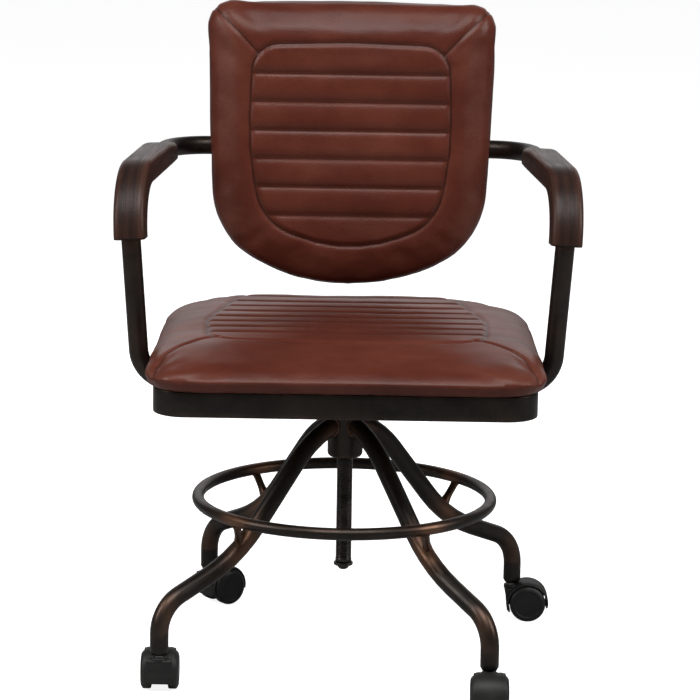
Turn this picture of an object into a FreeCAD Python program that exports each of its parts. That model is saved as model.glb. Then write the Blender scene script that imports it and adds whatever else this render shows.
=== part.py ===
import FreeCAD, Part
import math
import os
import Sketcher

# Bankers swivel chair, in millimetres.
# Origin on the floor below the seat screw, +Z up, the sitter faces -Y.

SIZES = {
    # base tubes and hub
    "tube_diameter": 24.2,
    "tube_wall": 2.0,
    "leg_wall": 3.0,
    "leg_count": 4,
    "leg_turn": -6.2,
    "hub_diameter": 47.0,
    "hub_base": 275.0,
    "hub_height": 74.0,
    "hub_edge": 6.0,
    "leg_root_height": 47.9,
    "leg_shoulder_reach": 57.0,
    "leg_shoulder_drop": 16.4,
    "leg_shoulder_radius": 148.0,
    "leg_sweep_reach": 179.3,
    "leg_sweep_height": 163.0,
    "leg_sweep_radius": 205.0,
    "leg_foot_reach": 303.5,
    "leg_foot_height": 114.0,
    "leg_foot_radius": 50.0,
    # foot ring
    "ring_radius": 196.0,
    "ring_bar": 16.0,
    "ring_rise": 55.0,
    "strut_diameter": 10.0,
    "strut_inset": 21.0,
    "front_strut_turn": 6.0,
    # screw
    "screw_diameter": 21.6,
    "screw_pitch": 2.5,
    "screw_depth": 1.2,
    "screw_clearance": 0.05,
    "screw_drop": 145.5,
    "nut_diameter": 32.0,
    "nut_lip": 4.0,
    "stop_washer_diameter": 26.0,
    "stop_washer_thickness": 4.6,
    "screw_pin_diameter": 12.0,
    "stop_play": 0.1,
    "screw_cap_diameter": 15.0,
    "screw_cap_height": 6.5,
    # casters
    "wheel_diameter": 50.0,
    "wheel_width": 13.8,
    "wheel_gap": 22.0,
    "wheel_edge": 3.5,
    "wheel_dish": 1.6,
    "axle_diameter": 6.0,
    "running_clearance": 0.05,
    "caster_trail": 22.0,
    "hood_gap": 1.4,
    "hood_wall": 2.2,
    "hood_width": 41.0,
    "hood_band": 0.8,
    "hood_band_width": 34.0,
    "hood_rise": 21.0,
    "hood_front": 11.0,
    "hood_skirt": 13.0,
    "hood_tail": 20.0,
    "web_gap": 1.0,
    "web_boss_diameter": 18.0,
    "stem_diameter": 11.0,
    "stem_depth": 17.0,
    "stem_length": 26.0,
    "stem_neck_diameter": 13.0,
    "stem_neck_height": 2.9,
    "collar_diameter": 22.4,
    "collar_thickness": 3.0,
    "swivel_gap": 0.1,
    "socket_length": 27.0,
    "leg_end_taper": 2.6,
    "leg_end_taper_height": 4.5,
    # seat carrier
    "rest_gap": 0.5,
    "boss_diameter": 46.0,
    "boss_height": 20.5,
    "plate_width": 200.0,
    "plate_thickness": 6.0,
    "rail_offset": 80.0,
    "rail_width": 30.0,
    "rail_height": 18.0,
    "rail_wall": 2.0,
    "bolt_offset": 70.0,
    "bolt_diameter": 8.0,
    "bolt_head_diameter": 14.0,
    "bolt_head_height": 5.0,
    "seat_width": 492.0,
    "seat_front": 230.0,
    "seat_rear": 220.0,
    "seat_corner": 42.0,
    "seat_rear_corner": 125.0,
    "frame_height": 33.0,
    "frame_wall": 2.5,
    "board_gap": 0.5,
    # seat cushion
    "soft_gap": 0.3,
    "cushion_half": 258.0,
    "cushion_rear_half": 246.0,
    "cushion_front": 250.0,
    "cushion_rear": 236.0,
    "cushion_height": 46.0,
    "cushion_corner": 60.0,
    "cushion_rear_corner": 115.0,
    "seat_panel_half": 172.0,
    "seat_channel_first": 66.0,
    "seat_channel_count": 8,
    "seat_channel_pitch": 35.5,
    "channel_depth": 3.0,
    "channel_radius": 7.0,
    # arm tube
    "arm_tube_diameter": 25.4,
    "arm_rise": 279.0,
    "arm_rear": 250.0,
    "arm_rear_half": 248.0,
    "arm_front": 100.0,
    "arm_front_half": 285.5,
    "arm_low_front": 80.0,
    "arm_low_half": 268.5,
    "arm_low_rise": 15.0,
    "arm_rear_radius": 60.0,
    "arm_front_radius": 75.0,
    "arm_low_radius": 45.0,
    # arm pads
    "pad_width": 41.0,
    "pad_above": 19.5,
    "pad_below": 12.0,
    "pad_start": 60.0,
    "pad_drop": 73.0,
    "pad_corner": 7.0,
    "pad_taper": 9.0,
    "pad_taper_length": 70.0,
    "pad_screw_diameter": 4.0,
    "pad_screw_head": 8.0,
    "pad_screw_head_height": 2.5,
    "pad_screw_bite": 5.0,
    "pad_screw_first": 70.0,
    "pad_screw_spacing": 140.0,
    # back
    "back_recline": 5.0,
    "back_cover_thickness": 5.0,
    "back_cover_inset": 10.0,
    "back_board_thickness": 12.0,
    "back_board_inset": 14.0,
    "back_cushion_thickness": 46.0,
    "back_half": 198.5,
    "back_low_half": 188.0,
    "back_above": 202.0,
    "back_low_corner": 124.4,
    "back_low_radius": 115.0,
    "back_bottom_corner": 218.5,
    "back_bottom_radius": 270.0,
    "back_corner": 37.0,
    "back_panel_half": 135.0,
    "back_channel_top": 94.4,
    "back_channel_count": 6,
    "back_channel_pitch": 39.1,
    "clamp_offset": 110.0,
    "clamp_width": 30.0,
    "clamp_strap": 2.5,
    "clamp_ear": 20.0,
    "clamp_screw_offset": 8.0,
    "clamp_screw_diameter": 5.0,
    "clamp_screw_head": 10.0,
    "clamp_screw_head_height": 3.0,
    "clamp_screw_length": 17.0,
}

doc = FreeCAD.newDocument("bankers_swivel_chair")
sheet = doc.addObject("Spreadsheet::Sheet", "sizes")
for row, (alias, number) in enumerate(SIZES.items(), start=1):
    sheet.set(f"A{row}", alias)
    sheet.set(f"B{row}", str(number))
    sheet.setAlias(f"B{row}", alias)
doc.recompute()


class Size:
    """A number together with the sheet formula that it comes from."""

    def __init__(self, value, text):
        self.value = value
        self.text = text

    def __add__(self, other):
        other = as_size(other)
        return Size(self.value + other.value, f"({self.text} + {other.text})")

    def __sub__(self, other):
        other = as_size(other)
        return Size(self.value - other.value, f"({self.text} - {other.text})")

    def __mul__(self, other):
        other = as_size(other)
        return Size(self.value * other.value, f"({self.text} * {other.text})")

    def __truediv__(self, other):
        other = as_size(other)
        return Size(self.value / other.value, f"({self.text} / {other.text})")

    def __neg__(self):
        return Size(-self.value, f"(0 - {self.text})")

    def __radd__(self, other):
        return as_size(other) + self

    def __rsub__(self, other):
        return as_size(other) - self

    def __rmul__(self, other):
        return as_size(other) * self

    def root(self):
        return Size(math.sqrt(self.value), f"sqrt({self.text})")

    def cosine(self):
        return Size(math.cos(math.radians(self.value)), f"cos({self.text})")

    def sine(self):
        return Size(math.sin(math.radians(self.value)), f"sin({self.text})")


def as_size(number):
    """A plain number as a Size, so that both can be mixed in one formula."""
    if isinstance(number, Size):
        return number
    return Size(float(number), f"{float(number)}")


def size(alias):
    """The sheet's cell of this name."""
    return Size(float(sheet.get(alias)), f"sizes.{alias}")


def plane_of(body, role):
    """The body's own origin plane with this role."""
    for feature in body.Origin.OriginFeatures:
        if feature.Role == role:
            return feature
    raise ValueError(role)


def new_body(label, base=(0, 0, 0), rotation=None):
    """A body whose origin lies at base, turned as rotation says."""
    body = doc.addObject("PartDesign::Body", label)
    body.Label = label
    place(body, base, rotation)
    return body


def place(item, base, rotation=None):
    """Place an object, with its base bound to the sheet."""
    base = [as_size(number) for number in base]
    item.Placement = FreeCAD.Placement(
        FreeCAD.Vector(*[number.value for number in base]), rotation or FreeCAD.Rotation()
    )
    for letter, number in zip("xyz", base):
        if number.value:
            item.setExpression(f"Placement.Base.{letter}", number.text)


def new_sketch(body, role, name, offset=None):
    """A sketch on the body's own plane, lifted off it by offset."""
    sketch = body.newObject("Sketcher::SketchObject", name)
    sketch.AttachmentSupport = [(plane_of(body, role), "")]
    sketch.MapMode = "FlatFace"
    if offset is not None:
        sketch.AttachmentOffset = FreeCAD.Placement(
            FreeCAD.Vector(0, 0, offset.value), FreeCAD.Rotation()
        )
        sketch.setExpression("AttachmentOffset.Base.z", offset.text)
    return sketch


def bind(sketch, constraint, number):
    """Add a constraint and bind its value to the sheet."""
    index = sketch.addConstraint(constraint)
    sketch.setExpression(f"Constraints[{index}]", number.text)


def pin(sketch, element, point, x, y):
    """Hold one point of an element at x, y, with both bound to the sheet."""
    for kind, number, fixed in (("DistanceX", x, 0.0), ("DistanceY", y, 0.0)):
        if number.value:
            bind(sketch, Sketcher.Constraint(kind, -1, 1, element, point, number.value), number)
        else:
            sketch.addConstraint(Sketcher.Constraint(kind, -1, 1, element, point, fixed))


def add_circle(sketch, x, y, radius):
    """A circle with its centre and radius bound to the sheet."""
    x, y, radius = as_size(x), as_size(y), as_size(radius)
    circle = sketch.addGeometry(
        Part.Circle(FreeCAD.Vector(x.value, y.value, 0), FreeCAD.Vector(0, 0, 1), radius.value)
    )
    pin(sketch, circle, 3, x, y)
    bind(sketch, Sketcher.Constraint("Radius", circle, radius.value), radius)


def unit(vector):
    return FreeCAD.Vector(vector).normalize()


def round_corners(points, radii, closed):
    """The lines and arcs that run through the points with rounded corners."""
    count = len(points)
    starts, ends = list(points), list(points)
    arcs = {}
    for index in range(count):
        radius = radii[index]
        if not radius or (not closed and index in (0, count - 1)):
            continue
        back = unit(points[index - 1] - points[index])
        ahead = unit(points[(index + 1) % count] - points[index])
        half = back.getAngle(ahead) / 2
        reach = radius / math.tan(half)
        middle = points[index] + unit(back + ahead) * (radius / math.sin(half) - radius)
        ends[index] = points[index] + back * reach
        starts[index] = points[index] + ahead * reach
        arcs[index] = (ends[index], middle, starts[index])
    return starts, ends, arcs


def add_outline(sketch, corners, closed=True):
    """Lines through the corners (x, y, radius), each corner rounded by its radius."""
    corners = [[as_size(number) for number in corner] for corner in corners]
    points = [FreeCAD.Vector(x.value, y.value, 0) for x, y, radius in corners]
    radii = [radius.value for x, y, radius in corners]
    starts, ends, arcs = round_corners(points, radii, closed)
    count = len(corners)
    lines = []
    for index in range(count if closed else count - 1):
        after = (index + 1) % count
        lines.append(sketch.addGeometry(Part.LineSegment(starts[index], ends[after])))
    for index in range(count):
        x, y, radius = corners[index]
        before, after = lines[index - 1], lines[index] if index < len(lines) else None
        if index in arcs:
            arc = sketch.addGeometry(Part.Arc(*arcs[index]))
            turn = (arcs[index][1] - arcs[index][0]).cross(arcs[index][2] - arcs[index][1]).z
            first, last = (1, 2) if turn > 0 else (2, 1)
            sketch.addConstraint(Sketcher.Constraint("Tangent", before, 2, arc, first))
            sketch.addConstraint(Sketcher.Constraint("Tangent", arc, last, after, 1))
            bind(sketch, Sketcher.Constraint("Radius", arc, radius.value), radius)
            corner = sketch.addGeometry(Part.Point(points[index]), True)
            pin(sketch, corner, 1, x, y)
            sketch.addConstraint(Sketcher.Constraint("PointOnObject", corner, 1, before))
            sketch.addConstraint(Sketcher.Constraint("PointOnObject", corner, 1, after))
        elif closed or 0 < index < count - 1:
            sketch.addConstraint(Sketcher.Constraint("Coincident", before, 2, after, 1))
            pin(sketch, after, 1, x, y)
        elif index == 0:
            pin(sketch, after, 1, x, y)
        else:
            pin(sketch, before, 2, x, y)


def pad(body, sketch, length, name, both_ways=False, reverse=False):
    """Pad a sketch to a length that is bound to the sheet."""
    feature = body.newObject("PartDesign::Pad", name)
    feature.Profile = sketch
    feature.Length = as_size(length).value
    feature.setExpression("Length", as_size(length).text)
    feature.Midplane = both_ways
    feature.Reversed = reverse
    return feature


def pocket_through(body, sketch, name):
    """Cut a sketch right through the body, both ways."""
    feature = body.newObject("PartDesign::Pocket", name)
    feature.Profile = sketch
    feature.Type = "ThroughAll"
    feature.Midplane = True
    return feature


def revolve(body, sketch, name, kind="PartDesign::Revolution", axis="V_Axis"):
    """Turn a sketch once round one of its own axes."""
    feature = body.newObject(kind, name)
    feature.Profile = sketch
    feature.ReferenceAxis = (sketch, [axis])
    feature.Angle = 360.0
    return feature


def turned_body(label, corners, base=(0, 0, 0), rotation=None):
    """A body of revolution round its own Z, from an outline of (radius, height, rounding)."""
    body = new_body(label, base, rotation)
    sketch = new_sketch(body, "XZ_Plane", label + "_profile")
    add_outline(sketch, corners)
    revolve(body, sketch, label + "_turned")
    return body


def plain_feature(label, shape, placement=None):
    """A sub-part whose shape comes from lofts, bent paths or coped ends."""
    feature = doc.addObject("Part::Feature", label)
    feature.Label = label
    feature.Shape = shape
    if placement is not None:
        feature.Placement = placement
    return feature


def around_z(degrees):
    return FreeCAD.Rotation(FreeCAD.Vector(0, 0, 1), degrees)


def vector(x, y, z):
    return FreeCAD.Vector(*[as_size(number).value for number in (x, y, z)])


parts = []

# Heights and radii that several pieces share
tube_radius = size("tube_diameter") / 2
bore_radius = tube_radius - size("leg_wall")
hub_radius = size("hub_diameter") / 2
hub_top = size("hub_base") + size("hub_height")
wheel_radius = size("wheel_diameter") / 2
hood_top = wheel_radius + size("hood_rise")
collar_top = hood_top + size("collar_thickness")
tube_end = collar_top + size("stem_neck_height") + size("swivel_gap")
plate_bottom = hub_top + size("rest_gap") + size("boss_height")
seat_level = plate_bottom + size("plate_thickness")
frame_top = seat_level + size("frame_height")
screw_radius = size("screw_diameter") / 2
shoulder = size("hub_base") - size("screw_drop")
leg_root = size("hub_base") + size("leg_root_height")
ring_level = size("leg_sweep_height") + size("ring_rise")
quarter = 360.0 / size("leg_count").value
leg_names = ["rear_right", "rear_left", "front_left", "front_right"]
leg_angles = [quarter * (index + 0.5) + size("leg_turn").value for index in range(4)]

# Hub: a turned steel boss, with the screw's nut pressed into it from above
nut_radius = size("nut_diameter") / 2
lip_radius = screw_radius + 1.0
hub = turned_body("hub", [
    (lip_radius, size("hub_base"), 0),
    (hub_radius, size("hub_base"), size("hub_edge")),
    (hub_radius, hub_top, 0),
    (nut_radius, hub_top, 0),
    (nut_radius, size("hub_base") + size("nut_lip"), 0),
    (lip_radius, size("hub_base") + size("nut_lip"), 0),
])
parts.append(hub)

nut_bore = screw_radius + size("screw_clearance")
parts.append(turned_body("screw_nut", [
    (nut_bore, size("hub_base") + size("nut_lip"), 0),
    (nut_radius, size("hub_base") + size("nut_lip"), 0),
    (nut_radius, hub_top, 0),
    (nut_bore, hub_top, 0),
]))

# Legs: one bent tube each, coped to the hub, tapered at the foot and open there for the caster
leg_feet = {}
for name, angle in zip(leg_names, leg_angles):
    turn = math.radians(angle)
    leg_feet[name] = (size("leg_foot_reach") * math.cos(turn), size("leg_foot_reach") * math.sin(turn))


def pipe(body, profile, path, name, kind="PartDesign::AdditivePipe"):
    """Sweep a profile along a whole path sketch."""
    feature = body.newObject(kind, name)
    feature.Profile = profile
    feature.Spine = (path, [f"Edge{index + 1}" for index in range(len(path.Shape.Edges))])
    feature.Mode = "Standard"
    return feature


leg_solids = {}
for name, angle in zip(leg_names, leg_angles):
    foot_reach = size("leg_foot_reach")
    leg = new_body("leg_" + name, (*leg_feet[name], 0), around_z(angle))
    path = new_sketch(leg, "XZ_Plane", f"leg_{name}_path")
    add_outline(path, [
        (hub_radius / 2 - foot_reach, leg_root, 0),
        (size("leg_shoulder_reach") - foot_reach, leg_root - size("leg_shoulder_drop"), size("leg_shoulder_radius")),
        (size("leg_sweep_reach") - foot_reach, size("leg_sweep_height"), size("leg_sweep_radius")),
        (0, size("leg_foot_height"), size("leg_foot_radius")),
        (0, tube_end, 0),
    ], closed=False)
    section = new_sketch(leg, "XY_Plane", f"leg_{name}_section", tube_end)
    add_circle(section, 0, 0, tube_radius)
    hollow = new_sketch(leg, "XY_Plane", f"leg_{name}_hollow_section", tube_end)
    add_circle(hollow, 0, 0, bore_radius)
    doc.recompute()
    swept = pipe(leg, section, path, f"leg_{name}_tube")
    doc.recompute()
    solid = swept.Shape.copy()
    solid.Placement = leg.Placement.multiply(solid.Placement)
    leg_solids[name] = solid
    pipe(leg, hollow, path, f"leg_{name}_hollow", "PartDesign::SubtractivePipe")
    cope = new_sketch(leg, "XY_Plane", f"leg_{name}_cope")
    add_circle(cope, -foot_reach, 0, hub_radius)
    pocket_through(leg, cope, f"leg_{name}_coped")
    taper = new_sketch(leg, "XZ_Plane", f"leg_{name}_taper")
    add_outline(taper, [
        (tube_radius - size("leg_end_taper"), tube_end, 0),
        (tube_radius + size("leg_end_taper"), tube_end, 0),
        (tube_radius + size("leg_end_taper"), tube_end + size("leg_end_taper_height") * 2, 0),
    ])
    revolve(leg, taper, f"leg_{name}_tapered", "PartDesign::Groove")
    parts.append(leg)
doc.recompute()

# Foot ring: a round bar bent into a circle
ring = new_body("foot_ring")
ring_section = new_sketch(ring, "XZ_Plane", "foot_ring_section")
add_circle(ring_section, size("ring_radius"), ring_level, size("ring_bar") / 2)
revolve(ring, ring_section, "foot_ring_bar")
parts.append(ring)
doc.recompute()


def leg_height_at(reach):
    """Height of the leg's upper surface at this distance from the screw."""
    turn = around_z(leg_angles[0])
    low = turn.multVec(vector(reach, 0, tube_end))
    high = turn.multVec(vector(reach, 0, hub_top))
    inside = Part.LineSegment(low, high).toShape().common(leg_solids[leg_names[0]])
    return inside.BoundBox.ZMax


# Ring struts: short bars from the top of each leg to the ring, coped at both ends
strut_foot_reach = size("ring_radius") - size("strut_inset")
strut_foot_height = leg_height_at(strut_foot_reach) - 0.4 * tube_radius.value
for name, angle in zip(leg_names, leg_angles):
    lean = {"front_left": 1, "front_right": -1}.get(name, 0) * size("front_strut_turn").value
    foot = around_z(angle).multVec(vector(strut_foot_reach, 0, strut_foot_height))
    head = around_z(angle + lean).multVec(vector(size("ring_radius"), 0, ring_level))
    run = head - foot
    bar = Part.makeCylinder(size("strut_diameter").value / 2, run.Length, foot, run)
    coped = bar.cut(leg_solids[name]).cut(ring.Shape)
    longest = max(coped.Solids, key=lambda solid: solid.Volume)
    parts.append(plain_feature("ring_strut_" + name, longest))

# Screw: turned bar with its thread, and a plain pin that carries the stop washer
thread_low = shoulder + 2 * size("screw_pitch")
cap_seat = shoulder - size("stop_washer_thickness") - 2 * size("stop_play")
screw = turned_body("seat_screw", [
    (0, cap_seat, 0),
    (size("screw_pin_diameter") / 2, cap_seat, 0),
    (size("screw_pin_diameter") / 2, shoulder, 0),
    (screw_radius, shoulder, 0),
    (screw_radius, seat_level, 0),
    (0, seat_level, 0),
])
thread = new_sketch(screw, "XZ_Plane", "seat_screw_thread")
groove_half = size("screw_pitch") * 0.47
add_outline(thread, [
    (screw_radius + 0.1, thread_low - groove_half, 0),
    (screw_radius + 0.1, thread_low + groove_half, 0),
    (screw_radius - size("screw_depth"), thread_low, 0),
])
doc.recompute()
ridge = revolve(screw, thread, "seat_screw_groove", "PartDesign::Groove")
doc.recompute()
thread_length = hub_top - size("screw_pitch") - thread_low
ridges = screw.newObject("PartDesign::LinearPattern", "seat_screw_grooves")
ridges.Originals = [ridge]
ridges.Direction = (thread, ["V_Axis"])
ridges.Length = thread_length.value
ridges.setExpression("Length", f"floor({thread_length.text} / sizes.screw_pitch) * sizes.screw_pitch")
ridges.Occurrences = int(thread_length.value // size("screw_pitch").value) + 1
ridges.setExpression("Occurrences", f"floor({thread_length.text} / sizes.screw_pitch) + 1")
screw.Tip = ridges
parts.append(screw)

washer_low = cap_seat + size("stop_play")
washer_bore = size("screw_pin_diameter") / 2 + size("running_clearance")
washer_radius = size("stop_washer_diameter") / 2
washer_top = washer_low + size("stop_washer_thickness")
parts.append(turned_body("stop_washer", [
    (washer_bore, washer_low, 0),
    (washer_radius, washer_low, 1.5),
    (washer_radius, washer_top, 1.5),
    (washer_bore, washer_top, 0),
]))

cap_radius = size("screw_cap_diameter") / 2
parts.append(turned_body("screw_end_cap", [
    (0, cap_seat - size("screw_cap_height"), 0),
    (cap_radius, cap_seat - size("screw_cap_height"), cap_radius * 0.8),
    (cap_radius, cap_seat, 0),
    (0, cap_seat, 0),
]))

# Casters: a stem that turns in the leg's socket, a moulded hood, an axle and twin wheels
stem_radius = size("stem_diameter") / 2
socket_bore = stem_radius + size("running_clearance")
inner_face = size("wheel_gap") / 2
outer_face = inner_face + size("wheel_width")
hood_inner = wheel_radius + size("hood_gap")
hood_outer = hood_inner + size("hood_wall")
hood_middle = hood_inner + size("hood_wall") / 2
web_half = inner_face - size("web_gap")
web_boss = size("web_boss_diameter") / 2
axle_radius = size("axle_diameter") / 2
axle_bore = axle_radius + size("running_clearance")
axle_half = inner_face + size("wheel_width") * 0.6
trail = size("caster_trail")
caster_turns = {"rear_right": 0.0, "rear_left": 40.0, "front_left": 90.0, "front_right": 270.0}
web_angles = (186, 165, 140, 115, 90)

for name in leg_names:
    base = (*leg_feet[name], 0)
    turn = around_z(caster_turns[name])
    trail_x = math.cos(math.radians(caster_turns[name]))
    trail_y = math.sin(math.radians(caster_turns[name]))
    hub_base = (base[0] + trail * trail_x, base[1] + trail * trail_y, wheel_radius)

    parts.append(turned_body("caster_socket_" + name, [
        (socket_bore, tube_end, 0),
        (bore_radius, tube_end, 0),
        (bore_radius, tube_end + size("socket_length"), 0),
        (socket_bore, tube_end + size("socket_length"), 0),
    ], base))

    stem_low = collar_top - size("stem_depth")
    stem_top = tube_end + size("stem_length")
    neck_top = tube_end - size("swivel_gap")
    parts.append(turned_body("caster_stem_" + name, [
        (0, stem_low, 0),
        (stem_radius, stem_low, 0),
        (stem_radius, collar_top, 0),
        (size("stem_neck_diameter") / 2, collar_top, 0),
        (size("stem_neck_diameter") / 2, neck_top, 0),
        (stem_radius, neck_top, 0),
        (stem_radius, stem_top, 2),
        (0, stem_top, 0),
    ], base, turn))

    label = "caster_hood_" + name
    hood = new_body(label, base, turn)
    cover = new_sketch(hood, "XZ_Plane", label + "_cover")
    add_circle(cover, trail, wheel_radius, hood_outer)
    pad(hood, cover, size("hood_width"), label + "_shell", both_ways=True)
    band = new_sketch(hood, "XZ_Plane", label + "_band")
    add_circle(band, trail, wheel_radius, hood_outer + size("hood_band"))
    pad(hood, band, size("hood_band_width"), label + "_raised", both_ways=True)
    block = new_sketch(hood, "XZ_Plane", label + "_block")
    add_outline(block, [
        (-size("hood_front"), hood_top, 2),
        (trail - hood_outer, wheel_radius, 12),
        (trail - hood_inner, wheel_radius - 2, 0),
        (trail, wheel_radius, 0),
        (trail, hood_top, 0),
    ])
    pad(hood, block, size("hood_band_width"), label + "_front", both_ways=True)
    opening = new_sketch(hood, "XZ_Plane", label + "_opening")
    add_circle(opening, trail, wheel_radius, hood_inner)
    pocket_through(hood, opening, label + "_wheel_space")
    below = new_sketch(hood, "XZ_Plane", label + "_below")
    add_outline(below, [
        (trail - hood_outer * 2, size("hood_skirt"), 0),
        (trail, size("hood_skirt"), 0),
        (trail, size("hood_tail"), 0),
        (trail + hood_outer * 2, size("hood_tail"), 0),
        (trail + hood_outer * 2, -hood_outer, 0),
        (trail - hood_outer * 2, -hood_outer, 0),
    ])
    pocket_through(hood, below, label + "_cut_off")
    web = new_sketch(hood, "XZ_Plane", label + "_web")
    web_corners = []
    for degrees in web_angles:
        across = hood_middle * math.cos(math.radians(degrees))
        up = hood_middle * math.sin(math.radians(degrees))
        web_corners.append((trail + across, wheel_radius + up, 0))
    web_corners += [
        (trail + web_boss, wheel_radius, 0),
        (trail + web_boss, wheel_radius - web_boss, 6),
        (trail - web_boss, wheel_radius - web_boss, 6),
    ]
    add_outline(web, web_corners)
    pad(hood, web, web_half * 2, label + "_middle", both_ways=True)
    collar = new_sketch(hood, "XY_Plane", label + "_collar", hood_top - 3)
    add_circle(collar, 0, 0, size("collar_diameter") / 2)
    pad(hood, collar, size("collar_thickness") + 3, label + "_boss")
    seat_hole = new_sketch(hood, "XY_Plane", label + "_stem_hole", collar_top - size("stem_depth"))
    add_circle(seat_hole, 0, 0, stem_radius)
    hole = hood.newObject("PartDesign::Pocket", label + "_stem_seat")
    hole.Profile = seat_hole
    hole.Reversed = True
    hole.Length = size("stem_depth").value * 2
    hole.setExpression("Length", (size("stem_depth") * 2).text)
    axle_hole = new_sketch(hood, "XZ_Plane", label + "_axle_hole")
    add_circle(axle_hole, trail, wheel_radius, axle_radius)
    pocket_through(hood, axle_hole, label + "_axle_seat")
    parts.append(hood)

    to_side = FreeCAD.Rotation(FreeCAD.Vector(1, 0, 0), 90)
    parts.append(turned_body("caster_axle_" + name, [
        (0, -axle_half, 0),
        (axle_radius, -axle_half, 0),
        (axle_radius, axle_half, 0),
        (0, axle_half, 0),
    ], hub_base, turn.multiply(to_side)))

    for side, tilt in (("a", 90), ("b", -90)):
        facing = turn.multiply(FreeCAD.Rotation(FreeCAD.Vector(1, 0, 0), tilt))
        parts.append(turned_body(f"wheel_{name}_{side}", [
            (axle_bore, inner_face, 0),
            (wheel_radius, inner_face, 1.5),
            (wheel_radius, outer_face, size("wheel_edge")),
            (wheel_radius * 0.62, outer_face, 0),
            (wheel_radius * 0.6, outer_face - size("wheel_dish"), 0),
            (0, outer_face - size("wheel_dish"), 0),
            (0, axle_half + 0.3, 0),
            (axle_bore, axle_half + 0.3, 0),
        ], hub_base, facing))
doc.recompute()

# Mounting plate: pressed on the screw's upper end, with a boss that rests over the hub
plate = new_body("mounting_plate", (0, 0, plate_bottom))
plate_half = size("plate_width") / 2
square = new_sketch(plate, "XY_Plane", "mounting_plate_square")
add_outline(square, [
    (plate_half, plate_half, 14),
    (-plate_half, plate_half, 14),
    (-plate_half, -plate_half, 14),
    (plate_half, -plate_half, 14),
])
pad(plate, square, size("plate_thickness"), "mounting_plate_flat")
boss = new_sketch(plate, "XY_Plane", "mounting_plate_boss_circle")
add_circle(boss, 0, 0, size("boss_diameter") / 2)
pad(plate, boss, size("boss_height"), "mounting_plate_boss", reverse=True)
plate_holes = new_sketch(plate, "XY_Plane", "mounting_plate_holes")
bolt_spots = []
for across in (-1, 1):
    for along in (-1, 1):
        bolt_spots.append((size("bolt_offset") * across, size("rail_offset") * along))
for spot in bolt_spots:
    add_circle(plate_holes, *spot, size("bolt_diameter") / 2)
add_circle(plate_holes, 0, 0, screw_radius)
pocket_through(plate, plate_holes, "mounting_plate_drilled")
parts.append(plate)

# Seat frame: a steel band bent round the seat, with two box rails welded across it
frame_half = size("seat_width") / 2


def seat_corners(inset):
    """The seat frame's outline, drawn in all round by inset."""
    corner = size("seat_corner") - inset
    rear_corner = size("seat_rear_corner") - inset
    return [
        (frame_half - inset, size("seat_rear") - inset, rear_corner),
        (-frame_half + inset, size("seat_rear") - inset, rear_corner),
        (-frame_half + inset, -size("seat_front") + inset, corner),
        (frame_half - inset, -size("seat_front") + inset, corner),
    ]


band = new_body("seat_frame", (0, 0, seat_level))
band_outer = new_sketch(band, "XY_Plane", "seat_frame_outer")
add_outline(band_outer, seat_corners(as_size(0)))
pad(band, band_outer, size("frame_height"), "seat_frame_band")
band_inner = new_sketch(band, "XY_Plane", "seat_frame_inner")
add_outline(band_inner, seat_corners(size("frame_wall")))
pocket_through(band, band_inner, "seat_frame_open")
parts.append(band)

rail_reach = frame_half - size("frame_wall")
bolt_radius = size("bolt_diameter") / 2
for label, along in (("cross_rail_front", -1), ("cross_rail_rear", 1)):
    rail = new_body(label, (0, size("rail_offset") * along, seat_level))
    for name, inset in (("outer", as_size(0)), ("inner", size("rail_wall"))):
        section = new_sketch(rail, "YZ_Plane", f"{label}_{name}")
        half = size("rail_width") / 2 - inset
        add_outline(section, [
            (half, inset, 0),
            (half, size("rail_height") - inset, 0),
            (-half, size("rail_height") - inset, 0),
            (-half, inset, 0),
        ])
        if name == "outer":
            pad(rail, section, rail_reach * 2, label + "_bar", both_ways=True)
        else:
            pocket_through(rail, section, label + "_hollow")
    drilled = new_sketch(rail, "XY_Plane", label + "_holes")
    for across in (-1, 1):
        add_circle(drilled, size("bolt_offset") * across, 0, bolt_radius)
    pocket_through(rail, drilled, label + "_drilled")
    parts.append(rail)

# Seat board: plywood inside the band, standing on the rails
board_bottom = seat_level + size("rail_height")
board_thickness = size("frame_height") - size("rail_height")
board = new_body("seat_board", (0, 0, board_bottom))
board_outline = new_sketch(board, "XY_Plane", "seat_board_outline")
add_outline(board_outline, seat_corners(size("frame_wall") + size("board_gap")))
pad(board, board_outline, board_thickness, "seat_board_sheet")
board_holes = new_sketch(board, "XY_Plane", "seat_board_holes")
for spot in bolt_spots:
    add_circle(board_holes, *spot, bolt_radius)
bolt_bite = board_thickness - 4
blind = board.newObject("PartDesign::Pocket", "seat_board_drilled")
blind.Profile = board_holes
blind.Reversed = True
blind.Length = bolt_bite.value
blind.setExpression("Length", bolt_bite.text)
parts.append(board)

bolts = []
for across, along in bolt_spots:
    low = plate_bottom - size("bolt_head_height")
    corners = []
    for step in range(7):
        turned = around_z(60 * step).multVec(vector(size("bolt_head_diameter") / 2, 0, 0))
        corners.append(vector(across, along, low) + turned)
    head = Part.Face(Part.makePolygon(corners)).extrude(vector(0, 0, size("bolt_head_height")))
    length = board_bottom + bolt_bite - low
    shank = Part.makeCylinder(bolt_radius.value, length.value, vector(across, along, low))
    bolts.append(head.fuse(shank).removeSplitter())
parts.append(plain_feature("plate_bolts", Part.makeCompound(bolts)))


def closed_wire(corners, height):
    """A flat closed wire through rounded corners, at this height."""
    points = [vector(x, y, height) for x, y, radius in corners]
    radii = [as_size(radius).value for x, y, radius in corners]
    starts, ends, arcs = round_corners(points, radii, True)
    edges = []
    for index in range(len(points)):
        after = (index + 1) % len(points)
        edges.append(Part.LineSegment(starts[index], ends[after]).toShape())
        edges.append(Part.Arc(*arcs[after]).toShape())
    return Part.Wire(edges)


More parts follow.
